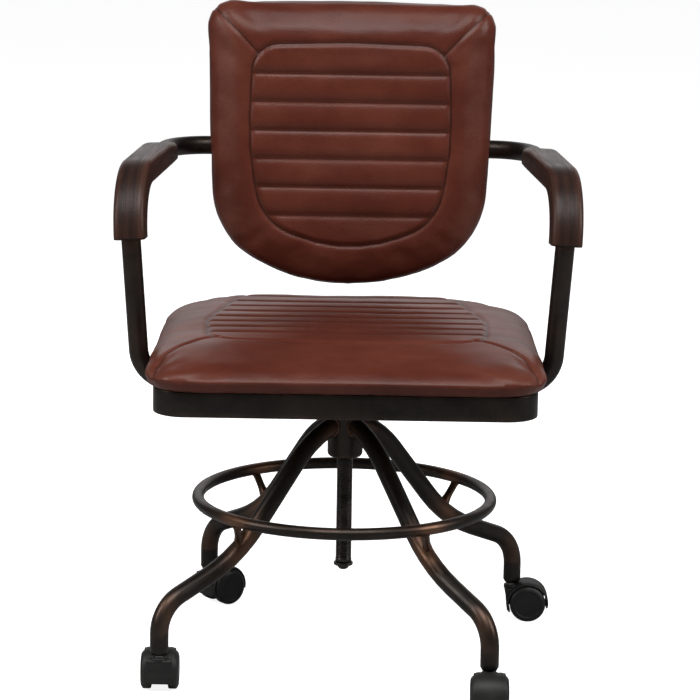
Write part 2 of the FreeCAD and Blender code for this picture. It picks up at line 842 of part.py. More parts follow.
def cut_channels(solid, half, first, pitch, count, face_at):
    """Press straight sewn channels into a cushion's face."""
    radius = size("channel_radius").value
    lift = radius - size("channel_depth").value
    for index in range(int(count.value)):
        place_y = (first + pitch * index).value
        start = FreeCAD.Vector(-half.value, place_y, face_at.value + lift)
        rod = Part.makeCylinder(radius, 2 * half.value, start, FreeCAD.Vector(1, 0, 0))
        solid = solid.cut(rod)
    return solid


# Seat cushion: crowned, drawn in at the foot and over the front, with channels across it
cushion_bottom = frame_top + size("soft_gap")


def cushion_corners(side, front, rear):
    """The seat cushion's outline, drawn in at the sides, at the front and at the rear."""
    corner = size("cushion_corner") - side * 0.4
    rear_corner = size("cushion_rear_corner") - side * 0.5
    back_edge = size("cushion_rear") - rear
    return [
        (size("cushion_rear_half") - side, back_edge, rear_corner),
        (-size("cushion_rear_half") + side, back_edge, rear_corner),
        (-size("cushion_half") + side, -size("cushion_front") + front, corner),
        (size("cushion_half") - side, -size("cushion_front") + front, corner),
    ]


cushion_steps = [
    (0.0, 14, 16, 14), (0.18, 4, 5, 4), (0.38, 0, 0, 0), (0.6, 5, 12, 4), (0.78, 17, 40, 12), (0.91, 38, 82, 24),
    (1.0, 74, 128, 44),
]
cushion_wires = []
for share, side, front, rear in cushion_steps:
    height = cushion_bottom + size("cushion_height") * share
    cushion_wires.append(closed_wire(cushion_corners(as_size(side), as_size(front), as_size(rear)), height))
cushion = Part.makeLoft(cushion_wires, True)
cushion = cut_channels(
    cushion, size("seat_panel_half"), -size("seat_channel_first"), size("seat_channel_pitch"),
    size("seat_channel_count"), cushion_bottom + size("cushion_height"),
)
parts.append(plain_feature("seat_cushion", cushion))

# Arm tube: one bent tube behind the back, along both arms and down to the seat frame
arm_radius = size("arm_tube_diameter") / 2
arm_bore_radius = arm_radius - size("tube_wall")
arm_level = seat_level + size("arm_rise")
arm_low = seat_level + size("arm_low_rise")


def rounded_path(points, radii):
    """An open wire through points in space, with its inner corners rounded."""
    starts, ends, arcs = round_corners(points, radii, False)
    edges = []
    for index in range(len(points) - 1):
        edges.append(Part.LineSegment(starts[index], ends[index + 1]).toShape())
        if index + 1 in arcs:
            edges.append(Part.Arc(*arcs[index + 1]).toShape())
    return Part.Wire(edges)


def sweep_circle(wire, radius):
    """A round bar along a wire."""
    first = wire.Edges[0]
    start = first.valueAt(first.FirstParameter)
    ahead = first.tangentAt(first.FirstParameter)
    circle = Part.Wire(Part.makeCircle(radius.value, start, ahead))
    return wire.makePipeShell([circle], True, False)


right_points = [
    (size("arm_rear_half"), size("arm_rear"), arm_level, size("arm_rear_radius")),
    (size("arm_front_half"), -size("arm_front"), arm_level, size("arm_front_radius")),
    (size("arm_low_half"), -size("arm_low_front"), arm_low, size("arm_low_radius")),
    (frame_half - 40, -size("arm_low_front"), arm_low, as_size(0)),
]
left_points = [(-x, y, z, radius) for x, y, z, radius in reversed(right_points)]
all_points = left_points + right_points
arm_wire = rounded_path(
    [vector(x, y, z) for x, y, z, radius in all_points],
    [radius.value for x, y, z, radius in all_points],
)
frame_block = Part.makeBox(
    size("seat_width").value, size("seat_width").value, size("frame_height").value * 2,
    vector(-frame_half, -frame_half, seat_level - size("frame_height") / 2),
)
arm_solid = sweep_circle(arm_wire, arm_radius)
arm_tube = arm_solid.cut(sweep_circle(arm_wire, arm_bore_radius)).cut(frame_block)

# Arm pads: dark wood saddles over the arms, grooved below and bent down over the front bends
pad_solids = {}
screw_sets = []
for label, side in (("armrest_right", 1), ("armrest_left", -1)):
    rear, front, low = [vector(x * side, y, z) for x, y, z, radius in right_points[:3]]
    along = unit(front - rear)
    down = unit(low - front)
    outward = unit(along * down.dot(along) - down)
    across = along.cross(outward)
    begin = rear + along * size("pad_start").value
    pad_wire = rounded_path([begin, front, low], [0, size("arm_front_radius").value, 0])
    pad_wire = Part.Wire(pad_wire.Edges[:2])

    def section(corners):
        """A closed wire across the arm, from (across, outward, rounding)."""
        points = [begin + across * x.value + outward * y.value for x, y, radius in corners]
        starts, ends, arcs = round_corners(points, [radius for x, y, radius in corners], True)
        edges = []
        for index in range(len(points)):
            after = (index + 1) % len(points)
            edges.append(Part.LineSegment(starts[index], ends[after]).toShape())
            if after in arcs:
                edges.append(Part.Arc(*arcs[after]).toShape())
        return Part.Wire(edges)

    half = size("pad_width") / 2
    corner = size("pad_corner").value
    outer = section([
        (half, -size("pad_below"), corner / 2),
        (half, size("pad_above"), corner),
        (-half, size("pad_above"), corner),
        (-half, -size("pad_below"), corner / 2),
    ])
    slot = section([
        (arm_radius, -size("pad_width"), 0),
        (arm_radius, as_size(0), 0),
        (-arm_radius, as_size(0), 0),
        (-arm_radius, -size("pad_width"), 0),
    ])
    saddle = pad_wire.makePipeShell([outer], True, False)
    saddle = saddle.cut(pad_wire.makePipeShell([slot], True, False)).cut(arm_solid)
    end_level = arm_level - size("pad_drop")
    reach = size("pad_width").value * 4
    below_end = Part.makeBox(reach, reach, reach, vector(front.x - reach / 2, front.y - reach / 2, end_level - reach))
    taper_top = size("pad_above").value
    aside = across * size("pad_width").value
    edge_a = begin + outward * (taper_top - size("pad_taper").value) - aside
    edge_b = begin + outward * (taper_top + size("pad_taper").value) - aside
    edge_c = begin + outward * (taper_top + 0.01) + along * size("pad_taper_length").value - aside
    wedge = Part.Face(Part.makePolygon([edge_a, edge_b, edge_c, edge_a])).extrude(aside * 2)
    saddle = saddle.cut(below_end).cut(wedge)

    for step in (0, 1):
        spot = size("pad_screw_first") + size("pad_screw_spacing") * step
        under = begin + along * spot.value - outward * arm_radius.value
        head_base = under - outward * size("pad_screw_head_height").value
        length = size("pad_screw_head_height") + size("arm_tube_diameter") + size("pad_screw_bite")
        shank = Part.makeCylinder(size("pad_screw_diameter").value / 2, length.value, head_base, outward)
        head = Part.makeCylinder(
            size("pad_screw_head").value / 2, size("pad_screw_head_height").value, head_base, outward
        )
        screw_sets.append(head.fuse(shank))
        saddle = saddle.cut(shank)
        arm_tube = arm_tube.cut(shank)
    pad_solids[label] = saddle

parts.append(plain_feature("arm_tube", arm_tube))
for label, saddle in pad_solids.items():
    parts.append(plain_feature(label, saddle))
parts.append(plain_feature("armrest_screws", Part.makeCompound(screw_sets)))

# Back: every piece is drawn flat (x across, y up the back, z towards the sitter) and
# stands round the rear run of the arm tube, reclined about that tube
back_base = (0, size("arm_rear"), arm_level)
back_turn = FreeCAD.Rotation(FreeCAD.Vector(1, 0, 0), 90 - size("back_recline").value)
cover_low = arm_radius
board_low = cover_low + size("back_cover_thickness")
padding_low = board_low + size("soft_gap")
padding_top = board_low + size("back_board_thickness") + size("back_cushion_thickness")


def back_corners(inset):
    """The back's outline, drawn in all round by inset."""
    top = size("back_above") - inset
    corner = size("back_corner") - inset * 0.6
    low_half = size("back_low_half") - inset
    low = -size("back_low_corner") + inset * 0.6
    low_radius = size("back_low_radius") - inset
    return [
        (size("back_half") - inset, top, corner),
        (-size("back_half") + inset, top, corner),
        (-low_half, low, low_radius),
        (as_size(0), -size("back_bottom_corner") + inset * 1.13, size("back_bottom_radius") - inset),
        (low_half, low, low_radius),
    ]


clamp_wall = arm_radius + size("clamp_strap")
back_spots = []
for side in (-1, 1):
    for step in (-1, 1):
        for up in (-1, 1):
            across = size("clamp_offset") * side + size("clamp_screw_offset") * step
            back_spots.append((across, (clamp_wall + size("clamp_ear") / 2) * up))
clamp_screw_radius = size("clamp_screw_diameter") / 2
clamp_face = arm_radius - size("clamp_strap")
screw_tip = clamp_face + size("clamp_screw_length")

cover_thickness = size("back_cover_thickness")
back_sheets = (
    ("back_cover", cover_low, cover_thickness, size("back_cover_inset"), cover_thickness),
    ("back_board", board_low, size("back_board_thickness"), size("back_board_inset"), screw_tip - board_low),
)
for label, low, thickness, inset, bite in back_sheets:
    sheet_body = new_body(label, back_base, back_turn)
    outline = new_sketch(sheet_body, "XY_Plane", label + "_outline", low)
    add_outline(outline, back_corners(inset))
    pad(sheet_body, outline, thickness, label + "_sheet")
    drilled = new_sketch(sheet_body, "XY_Plane", label + "_holes", low)
    for spot in back_spots:
        add_circle(drilled, *spot, clamp_screw_radius)
    hole = sheet_body.newObject("PartDesign::Pocket", label + "_drilled")
    hole.Profile = drilled
    hole.Reversed = True
    hole.Length = bite.value
    hole.setExpression("Length", bite.text)
    parts.append(sheet_body)

padding_steps = [
    (0.0, 11), (0.1, 5), (0.28, 1), (0.46, 0), (0.66, 3), (0.82, 10), (0.94, 24), (1.0, 46),
]
padding_wires = []
for share, inset in padding_steps:
    height = padding_low + (padding_top - padding_low) * share
    padding_wires.append(closed_wire(back_corners(as_size(inset)), height))
padding = Part.makeLoft(padding_wires, True)
recess = Part.Face(closed_wire(back_corners(size("back_board_inset") - size("soft_gap")), padding_low - 1))
recess_depth = size("back_board_thickness") + 1
padding = padding.cut(recess.extrude(vector(0, 0, recess_depth)))
padding = cut_channels(
    padding, size("back_panel_half"), size("back_channel_top"), -size("back_channel_pitch"),
    size("back_channel_count"), padding_top,
)
back_cushion = plain_feature("back_cushion", padding)
place(back_cushion, back_base, back_turn)
parts.append(back_cushion)

for label, side in (("back_clamp_left", -1), ("back_clamp_right", 1)):
    clamp = new_body(label, (size("clamp_offset") * side, *back_base[1:]), back_turn)
    profile = new_sketch(clamp, "YZ_Plane", label + "_profile")
    ear = clamp_wall + size("clamp_ear")
    add_outline(profile, [
        (ear, arm_radius, 0),
        (arm_radius, arm_radius, 0),
        (arm_radius, -arm_radius, arm_radius - 0.05),
        (-arm_radius, -arm_radius, arm_radius - 0.05),
        (-arm_radius, arm_radius, 0),
        (-ear, arm_radius, 0),
        (-ear, clamp_face, 0),
        (-clamp_wall, clamp_face, 0),
        (-clamp_wall, -clamp_wall, clamp_wall - 0.05),
        (clamp_wall, -clamp_wall, clamp_wall - 0.05),
        (clamp_wall, clamp_face, 0),
        (ear, clamp_face, 0),
    ])
    pad(clamp, profile, size("clamp_width"), label + "_strap", both_ways=True)
    drilled = new_sketch(clamp, "XY_Plane", label + "_holes")
    for step in (-1, 1):
        for up in (-1, 1):
            add_circle(
                drilled, size("clamp_screw_offset") * step,
                (clamp_wall + size("clamp_ear") / 2) * up, clamp_screw_radius,
            )
    pocket_through(clamp, drilled, label + "_drilled")
    parts.append(clamp)

back_screws = []
for across, up in back_spots:
    low = clamp_face - size("clamp_screw_head_height")
    head = Part.makeCylinder(
        size("clamp_screw_head").value / 2, size("clamp_screw_head_height").value, vector(across, up, low)
    )
    shank = Part.makeCylinder(
        clamp_screw_radius.value, size("clamp_screw_length").value, vector(across, up, clamp_face)
    )
    back_screws.append(head.fuse(shank))
screws = plain_feature("back_screws", Part.makeCompound(back_screws))
place(screws, back_base, back_turn)
parts.append(screws)

doc.recompute()
for item in doc.Objects:
    if "Invalid" in item.State or "Error" in item.State:
        raise RuntimeError(f"{item.Label} did not rebuild: {item.State}")
os.makedirs("parts", exist_ok=True)
for item in parts:
    if item.Shape.isNull() or not item.Shape.isValid():
        raise RuntimeError(f"{item.Label} has no valid shape")
    item.Shape.exportStep(f"parts/{item.Label}.step")
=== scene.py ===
import math

import bmesh
import bpy
from mathutils import Matrix, Vector, noise


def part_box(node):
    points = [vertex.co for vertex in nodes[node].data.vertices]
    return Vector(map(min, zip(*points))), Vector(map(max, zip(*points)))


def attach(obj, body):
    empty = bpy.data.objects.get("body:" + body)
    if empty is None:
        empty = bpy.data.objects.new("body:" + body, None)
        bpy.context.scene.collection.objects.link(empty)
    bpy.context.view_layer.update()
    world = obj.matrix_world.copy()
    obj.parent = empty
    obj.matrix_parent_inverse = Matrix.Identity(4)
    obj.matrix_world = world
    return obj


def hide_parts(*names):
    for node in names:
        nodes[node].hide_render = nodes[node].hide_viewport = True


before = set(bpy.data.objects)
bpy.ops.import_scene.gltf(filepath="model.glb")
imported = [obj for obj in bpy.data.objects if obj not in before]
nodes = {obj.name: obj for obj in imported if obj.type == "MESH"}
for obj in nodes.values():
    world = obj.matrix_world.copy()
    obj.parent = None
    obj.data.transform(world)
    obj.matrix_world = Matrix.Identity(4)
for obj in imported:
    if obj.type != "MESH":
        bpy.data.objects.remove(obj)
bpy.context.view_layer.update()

legs = ("rear_right", "rear_left", "front_left", "front_right")

# The camera stands where the photograph was taken: four and a half metres in front, 1.35 metres
# above the floor, with a long lens, tipped down by 11.7 degrees and rolled by about one.
camera_data = bpy.data.cameras.new("camera")
camera_data.lens = 177.79
camera_data.sensor_width = 36.0
camera = bpy.data.objects.new("camera", camera_data)
bpy.context.scene.collection.objects.link(camera)
camera.matrix_world = (
    Matrix.Translation((0.0093, -4.5, 1.349))
    @ Matrix.Rotation(math.radians(0.06), 4, "Z")
    @ Matrix.Rotation(math.radians(90 - 11.67), 4, "X")
    @ Matrix.Rotation(math.radians(0.9), 4, "Z")
)
bpy.context.scene.camera = camera
bpy.context.scene.view_settings.view_transform = "Standard"

# The studio: a white paper floor under a white sky, one wide soft lamp above and in front, two
# tall ones at the sides that draw the long lights on the tubes, and a weak wide one behind.
world = bpy.data.worlds.new("studio")
world.use_nodes = True
bpy.context.scene.world = world


def add_node(tree, kind, **values):
    """A shader or geometry node, with its inputs set by name and other settings by property."""
    node = tree.nodes.new(kind)
    for key, value in values.items():
        if hasattr(node, key) and key not in node.inputs:
            setattr(node, key, value)
        else:
            node.inputs[key.replace("_", " ")].default_value = value
    return node


sky = world.node_tree
sky.nodes.clear()
sky_lit = add_node(sky, "ShaderNodeBackground", Color=(0.97, 0.97, 1.0, 1), Strength=0.12)
sky_seen = add_node(sky, "ShaderNodeBackground", Color=(1, 1, 1, 1), Strength=1.0)
sky_ray = add_node(sky, "ShaderNodeLightPath")
sky_mix = add_node(sky, "ShaderNodeMixShader")
sky_out = add_node(sky, "ShaderNodeOutputWorld")
sky.links.new(sky_ray.outputs["Is Camera Ray"], sky_mix.inputs[0])
sky.links.new(sky_lit.outputs[0], sky_mix.inputs[1])
sky.links.new(sky_seen.outputs[0], sky_mix.inputs[2])
sky.links.new(sky_mix.outputs[0], sky_out.inputs[0])

paper = bpy.data.materials.new("studio_paper")
paper.use_nodes = True
paper_tree = paper.node_tree
paper_tree.nodes.clear()
paper_lit = add_node(paper_tree, "ShaderNodeBsdfDiffuse", Color=(0.86, 0.86, 0.86, 1))
paper_glow = add_node(paper_tree, "ShaderNodeEmission", Color=(1, 1, 1, 1), Strength=0.85)
paper_sum = add_node(paper_tree, "ShaderNodeAddShader")
paper_ray = add_node(paper_tree, "ShaderNodeLightPath")
paper_mix = add_node(paper_tree, "ShaderNodeMixShader")
paper_out = add_node(paper_tree, "ShaderNodeOutputMaterial")
paper_tree.links.new(paper_lit.outputs[0], paper_sum.inputs[0])
paper_tree.links.new(paper_glow.outputs[0], paper_sum.inputs[1])
paper_tree.links.new(paper_ray.outputs["Is Camera Ray"], paper_mix.inputs[0])
paper_dim = add_node(paper_tree, "ShaderNodeBsdfDiffuse", Color=(0.4, 0.4, 0.4, 1))
paper_tree.links.new(paper_dim.outputs[0], paper_mix.inputs[1])
paper_tree.links.new(paper_sum.outputs[0], paper_mix.inputs[2])
paper_tree.links.new(paper_mix.outputs[0], paper_out.inputs[0])


def build_mesh(name, points, faces, material):
    """A new object at the origin from points and faces in metres."""
    mesh = bpy.data.meshes.new(name)
    mesh.from_pydata([tuple(point) for point in points], [], faces)
    mesh.polygons.foreach_set("use_smooth", [True] * len(mesh.polygons))
    mesh.materials.append(material)
    mesh.update()
    made = bpy.data.objects.new(name, mesh)
    bpy.context.scene.collection.objects.link(made)
    return made


floor = build_mesh("floor", [(-9, -9, 0), (9, -9, 0), (9, 9, 0), (-9, 9, 0)], [(0, 1, 2, 3)], paper)

for lamp_name, place, reach, height, power in (
    ("lamp_above", (0.0, -1.6, 3.1), 2.4, 1.6, 82),
    ("lamp_left", (-2.5, -1.0, 2.0), 0.6, 1.8, 42),
    ("lamp_right", (2.6, -0.8, 2.0), 0.6, 1.8, 42),
    ("lamp_back", (0.0, 3.0, 1.5), 4.2, 1.7, 17),
):
    lamp_data = bpy.data.lights.new(lamp_name, "AREA")
    lamp_data.shape = "RECTANGLE"
    lamp_data.size = reach
    lamp_data.size_y = height
    lamp_data.energy = power
    lamp = bpy.data.objects.new(lamp_name, lamp_data)
    lamp.location = place
    aim = Vector((0, 0, 0.5)) - Vector(place)
    lamp.rotation_euler = aim.to_track_quat("-Z", "Y").to_euler()
    bpy.context.scene.collection.objects.link(lamp)


# The legs are four bent steel tubes, 24 millimetres thick, welded to the hub and tapered at
# the foot. The finish is burnished near black, with copper showing where it has been rubbed.
def new_material(name, roughness, metallic=0.0, **sockets):
    """A material with one Principled shader, whose even values are set on its own sockets."""
    material = bpy.data.materials.new(name)
    material.use_nodes = True
    shader = material.node_tree.nodes["Principled BSDF"]
    shader.inputs["Roughness"].default_value = roughness
    shader.inputs["Metallic"].default_value = metallic
    for key, value in sockets.items():
        shader.inputs[key.replace("_", " ")].default_value = value
    return material, material.node_tree, shader


def noise_of(tree, scale, detail=4.0, rough=0.55, stretch=(1, 1, 1), place=None):
    """A noise pattern on Object coordinates, stretched along the axes."""
    coords = add_node(tree, "ShaderNodeTexCoord")
    mapping = add_node(tree, "ShaderNodeMapping")
    mapping.inputs["Scale"].default_value = stretch
    pattern = add_node(tree, "ShaderNodeTexNoise", Scale=scale, Detail=detail, Roughness=rough)
    tree.links.new(place or coords.outputs["Object"], mapping.inputs["Vector"])
    tree.links.new(mapping.outputs[0], pattern.inputs["Vector"])
    return pattern.outputs["Fac"]


def ramp_of(tree, source, *stops):
    """A colour ramp from (position, colour) stops."""
    ramp = add_node(tree, "ShaderNodeValToRGB")
    while len(ramp.color_ramp.elements) < len(stops):
        ramp.color_ramp.elements.new(0.5)
    for element, (position, colour) in zip(ramp.color_ramp.elements, stops):
        element.position = position
        if isinstance(colour, (int, float)):
            colour = (colour, colour, colour)
        element.color = (*colour, 1)
    tree.links.new(source, ramp.inputs[0])
    return ramp.outputs[0]


def mix_of(tree, factor, low, high):
    """Two colours mixed by a factor, each a colour or another node's output."""
    mix = add_node(tree, "ShaderNodeMix", data_type="RGBA")
    for socket, value in ((mix.inputs[0], factor), (mix.inputs[6], low), (mix.inputs[7], high)):
        if hasattr(value, "is_linked"):
            tree.links.new(value, socket)
        elif isinstance(value, (int, float)):
            socket.default_value = value
        else:
            socket.default_value = (*value, 1)
    return mix.outputs[2]


def math_of(tree, operation, first, second=0.5):
    """A math node on outputs or plain numbers."""
    step = add_node(tree, "ShaderNodeMath", operation=operation)
    for socket, value in zip(step.inputs, (first, second)):
        if hasattr(value, "is_linked"):
            tree.links.new(value, socket)
        else:
            socket.default_value = value
    return step.outputs[0]


def bump_on(tree, shader, height, strength, distance):
    """Relief from a height pattern on the shader's normal."""
    bump = add_node(tree, "ShaderNodeBump", Strength=strength, Distance=distance)
    tree.links.new(height, bump.inputs["Height"])
    tree.links.new(bump.outputs[0], shader.inputs["Normal"])


def feed(tree, shader, **outputs):
    """Link outputs to the shader's inputs of these names."""
    for key, output in outputs.items():
        tree.links.new(output, shader.inputs[key.replace("_", " ")])


def attribute_of(tree, name):
    """A number that the piece's own mesh carries."""
    reader = add_node(tree, "ShaderNodeAttribute")
    reader.attribute_name = name
    return reader.outputs["Fac"]


bronze, tree, shader = new_material("burnished_bronze", 0.36, 0.85)
cloudy = noise_of(tree, 16, 6, 0.62)
brown = noise_of(tree, 5.5, 3, 0.6)
scuffs = noise_of(tree, 90, 5, 0.7, (1, 1, 0.35))
base = ramp_of(tree, cloudy, (0.3, (0.017, 0.015, 0.0138)), (0.7, (0.04, 0.034, 0.0295)))
base = mix_of(tree, ramp_of(tree, brown, (0.55, 0.0), (0.8, 0.5)), base, (0.046, 0.027, 0.019))
patches = ramp_of(tree, cloudy, (0.25, 0.25), (0.6, 1.0))
rubbed = math_of(tree, "MULTIPLY", attribute_of(tree, "wear"), patches)
base = mix_of(tree, rubbed, base, (0.21, 0.105, 0.062))
feed(tree, shader, Base_Color=base)
feed(tree, shader, Roughness=ramp_of(tree, scuffs, (0.3, 0.3), (0.75, 0.46)))
bump_on(tree, shader, scuffs, 0.18, 0.0003)


def rounded_route(points, radii, turn=5.0, closed=False):
    """Points along straight runs whose corners are rounded to the radii."""
    points = [Vector(point) for point in points]
    count = len(points)
    route = []
    for index in range(count):
        radius = radii[index]
        if not radius or (not closed and index in (0, count - 1)):
            route.append(points[index])
            continue
        back = (points[index - 1] - points[index]).normalized()
        ahead = (points[(index + 1) % count] - points[index]).normalized()
        half = back.angle(ahead) / 2
        centre = points[index] + (back + ahead).normalized() * (radius / math.sin(half))
        start = points[index] + back * (radius / math.tan(half))
        axis = back.cross(ahead).normalized()
        sweep = math.pi - 2 * half
        steps = max(2, int(math.degrees(sweep) / turn))
        for step in range(steps + 1):
            spin = Matrix.Rotation(-sweep * step / steps, 3, axis)
            route.append(centre + spin @ (start - centre))
    return route


def even_steps(route, spacing, closed=False):
    """The route's points, with more put in so that none lie further apart than spacing."""
    dense = []
    ends = route + [route[0]] if closed else route
    for here, there in zip(ends, ends[1:]):
        steps = max(1, math.ceil((there - here).length / spacing))
        dense += [here.lerp(there, step / steps) for step in range(steps)]
    return dense if closed else dense + [route[-1]]


def frames_along(route, side):
    """Each point of a route with its side and upward directions, which turn as little as they can."""
    placed = []
    count = len(route)
    side = Vector(side)
    for index, point in enumerate(route):
        before = route[index - 1] if index else point
        after = route[index + 1] if index < count - 1 else point
        ahead = (after - before).normalized()
        side = (side - ahead * side.dot(ahead)).normalized()
        placed.append((point, side, ahead.cross(side)))
    return placed


def strips(rings, size, closed=False):
    """Faces between rings of equal size, whose points follow one another."""
    faces = []
    for ring in range(rings if closed else rings - 1):
        low, high = ring * size, (ring + 1) % rings * size
        for index in range(size):
            after = (index + 1) % size
            faces.append((low + index, low + after, high + after, high + index))
    return faces


def end_faces(rings, size):
    """The two faces that close a row of rings."""
    return [tuple(reversed(range(size))), tuple(range((rings - 1) * size, rings * size))]


def sweep_mesh(placed, outline_at, closed=False):
    """Points and faces of an outline carried along placed frames; outline_at gives it for a step."""
    points = []
    for step, (point, side, up) in enumerate(placed):
        outline = outline_at(step)
        points += [point + side * across + up * rise for across, rise in outline]
    rings, size = len(placed), len(outline)
    return points, strips(rings, size, closed) + ([] if closed else end_faces(rings, size))


def circle_outline(radius, count=28):
    """Points of a circle across a sweep."""
    turns = [2 * math.pi * index / count for index in range(count)]
    return [(radius * math.cos(turn), radius * math.sin(turn)) for turn in turns]


def set_attribute(piece, name, values):
    """Give each point of a piece a number that its material reads."""
    layer = piece.data.attributes.new(name, "FLOAT", "POINT")
    layer.data.foreach_set("value", values)


def bell(distance, width):
    """1 where the distance is 0, falling to a third at the width."""
    return math.exp(-(distance / width) ** 2)


tube = 0.0121
leg_turn = {"rear_right": 38.8, "rear_left": 128.8, "front_left": 218.8, "front_right": 308.8}
foot_reach = 0.3035
tube_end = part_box("leg_rear_right")[0][2]
for name in legs:
    across = Matrix.Rotation(math.radians(leg_turn[name]), 3, "Z")
    corners = [(0.015, 0, 0.3219), (0.057, 0, 0.3065), (0.1793, 0, 0.163), (foot_reach, 0, 0.114)]
    route = rounded_route(corners + [(foot_reach, 0, tube_end + 0.0045)], [0, 0.148, 0.205, 0.05, 0])
    route = [across @ point for point in even_steps(route, 0.006)]
    route += [across @ Vector((foot_reach, 0, tube_end)), across @ Vector((foot_reach, 0, tube_end))]
    route.append(across @ Vector((foot_reach, 0, tube_end + 0.006)))
    radii = [tube] * (len(route) - 3) + [tube - 0.0026, tube - 0.003, tube - 0.003]
    placed = []
    for point, side, up in frames_along(route[:-2], across @ Vector((0, 1, 0))):
        placed.append((point, side, up))
    placed += [(route[-2], side, up), (route[-1], side, up)]
    points, faces = sweep_mesh(placed, lambda step: circle_outline(radii[step]))
    leg = build_mesh("tube_leg_" + name, points, faces, bronze)
    wear = []
    for point in points:
        reach = math.hypot(point.x, point.y)
        patch = noise.noise(Vector(point) * 28) * 0.5 + 0.5
        weld = bell(reach - 0.178, 0.022) * 0.95
        root = bell(reach - 0.03, 0.018) * 0.5
        bend = bell(reach - 0.296, 0.016) * 0.35 * (point.z > 0.08)
        wear.append(min(1.0, (weld + root + bend) * (0.35 + patch)))
    set_attribute(leg, "wear", wear)
    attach(leg, "base")
    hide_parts("leg_" + name)

# The hub is a turned steel boss with a rounded lower edge, and a threaded bush sits in it.
# The bush and the sleeves for the casters keep the frame's own shapes.
def turned_mesh(profile, count):
    """Points and faces of a closed profile of (radius, height) turned round the vertical."""
    points, faces = [], []
    size = len(profile)
    for index in range(count):
        angle = 2 * math.pi * index / count
        for radius, height in profile:
            points.append(Vector((radius * math.cos(angle), radius * math.sin(angle), height)))
    for index in range(count):
        after = (index + 1) % count
        for step in range(size):
            up = (step + 1) % size
            faces.append((index * size + step, after * size + step, after * size + up, index * size + up))
    return points, faces


def recalculated(points, faces):
    """The same faces, all turned to point outwards."""
    shape = bmesh.new()
    made = [shape.verts.new(point) for point in points]
    for face in faces:
        if len(set(face)) > 2:
            shape.faces.new([made[index] for index in face])
    bmesh.ops.remove_doubles(shape, verts=shape.verts, dist=1e-6)
    bmesh.ops.dissolve_degenerate(shape, edges=shape.edges, dist=1e-7)
    bmesh.ops.recalc_face_normals(shape, faces=shape.faces)
    shape.verts.index_update()
    points = [vert.co.copy() for vert in shape.verts]
    faces = [tuple(vert.index for vert in face.verts) for face in shape.faces]
    shape.free()
    return points, faces


def rounded_profile(corners, turn=15):
    """A closed profile of (radius, height) with its corners rounded, from (x, y, rounding)."""
    route = rounded_route([(x, y, 0) for x, y, r in corners], [r for x, y, r in corners], turn, True)
    return [(point.x, point.y) for point in route]


hub_low, hub_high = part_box("hub")[0][2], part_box("hub")[1][2]
hub_profile = rounded_profile([
    (0.0118, hub_low, 0.0004),
    (0.0235, hub_low, 0.006),
    (0.0235, hub_high, 0.0012),
    (0.016, hub_high, 0.0006),
    (0.016, hub_high - 0.004, 0),
    (0.0118, hub_high - 0.004, 0),
])
points, faces = turned_mesh(hub_profile, 96)
hub = build_mesh("turned_hub", points, faces, bronze)
hub_wear = []
for point in points:
    turn = math.degrees(math.atan2(point.y, point.x))
    near = min(abs((turn - leg_turn[name] + 180) % 360 - 180) for name in legs)
    weld = bell(near, 32) * bell(point.z - 0.312, 0.02)
    rim = bell(point.z - hub_low, 0.004) * 0.5
    hub_wear.append(min(1.0, (weld * 0.5 + rim) * (0.5 + noise.noise(point * 60))))
set_attribute(hub, "wear", hub_wear)
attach(hub, "base")
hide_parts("hub")

yellow_brass, tree, shader = new_material("turned_brass", 0.3, 1.0)
turning = noise_of(tree, 40, 3, 0.5, (1, 1, 14))
feed(tree, shader, Base_Color=ramp_of(tree, turning, (0.3, (0.3, 0.2, 0.09)), (0.7, (0.46, 0.33, 0.16))))
bump_on(tree, shader, turning, 0.1, 0.0002)


def finish_node(material, *names):
    """Give frame nodes their finish."""
    for name in names:
        mesh = nodes[name].data
        mesh.materials.clear()
        mesh.materials.append(material)


finish_node(yellow_brass, "screw_nut")

# The foot ring is a 16 millimetre round bar, bent to a circle and held by four short struts
# that stand on the legs. Each joint has a rippled weld bead, rubbed to bright copper.
ring_radius, ring_level, ring_bar = 0.196, 0.218, 0.008
level_frames = []
for index in range(160):
    outward = Matrix.Rotation(2 * math.pi * index / 160, 3, "Z") @ Vector((1, 0, 0))
    level_frames.append((outward * ring_radius + Vector((0, 0, ring_level)), outward, Vector((0, 0, 1))))
points, faces = sweep_mesh(level_frames, lambda step: circle_outline(ring_bar, 20), closed=True)
faces = [tuple(reversed(face)) for face in faces]
ring = build_mesh("foot_ring_bar", points, faces, bronze)
strut_turn = {"rear_right": 38.8, "rear_left": 128.8, "front_left": 224.8, "front_right": 302.8}
ring_wear = []
for point in points:
    turn = math.degrees(math.atan2(point.y, point.x))
    near = min(abs((turn - strut_turn[name] + 180) % 360 - 180) for name in legs)
    weld = bell(near, 6.5) * 1.1
    top = max(0.0, (point.z - ring_level) / ring_bar) * 0.16
    patch = noise.noise(point * 34) * 0.5 + 0.5
    ring_wear.append(min(1.0, (weld + top) * (0.3 + patch)))
set_attribute(ring, "wear", ring_wear)
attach(ring, "base")
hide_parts("foot_ring")

weld_metal, tree, shader = new_material("welded_metal", 0.42, 0.9)
heat = noise_of(tree, 70, 4, 0.6)
feed(tree, shader, Base_Color=ramp_of(
    tree, heat, (0.32, (0.035, 0.024, 0.019)), (0.6, (0.16, 0.082, 0.052)), (0.8, (0.3, 0.17, 0.11))
))
bump_on(tree, shader, heat, 0.4, 0.0006)


def leg_centre(reach):
    """Height of the leg tube's middle at this distance from the screw."""
    corners = [(0.015, 0, 0.3219), (0.057, 0, 0.3065), (0.1793, 0, 0.163), (foot_reach, 0, 0.114)]
    route = rounded_route(corners + [(foot_reach, 0, tube_end)], [0, 0.148, 0.205, 0.05, 0], 2)
    for here, there in zip(route, route[1:]):
        if here.x <= reach <= there.x:
            return here.lerp(there, (reach - here.x) / (there.x - here.x))
    return route[-1]


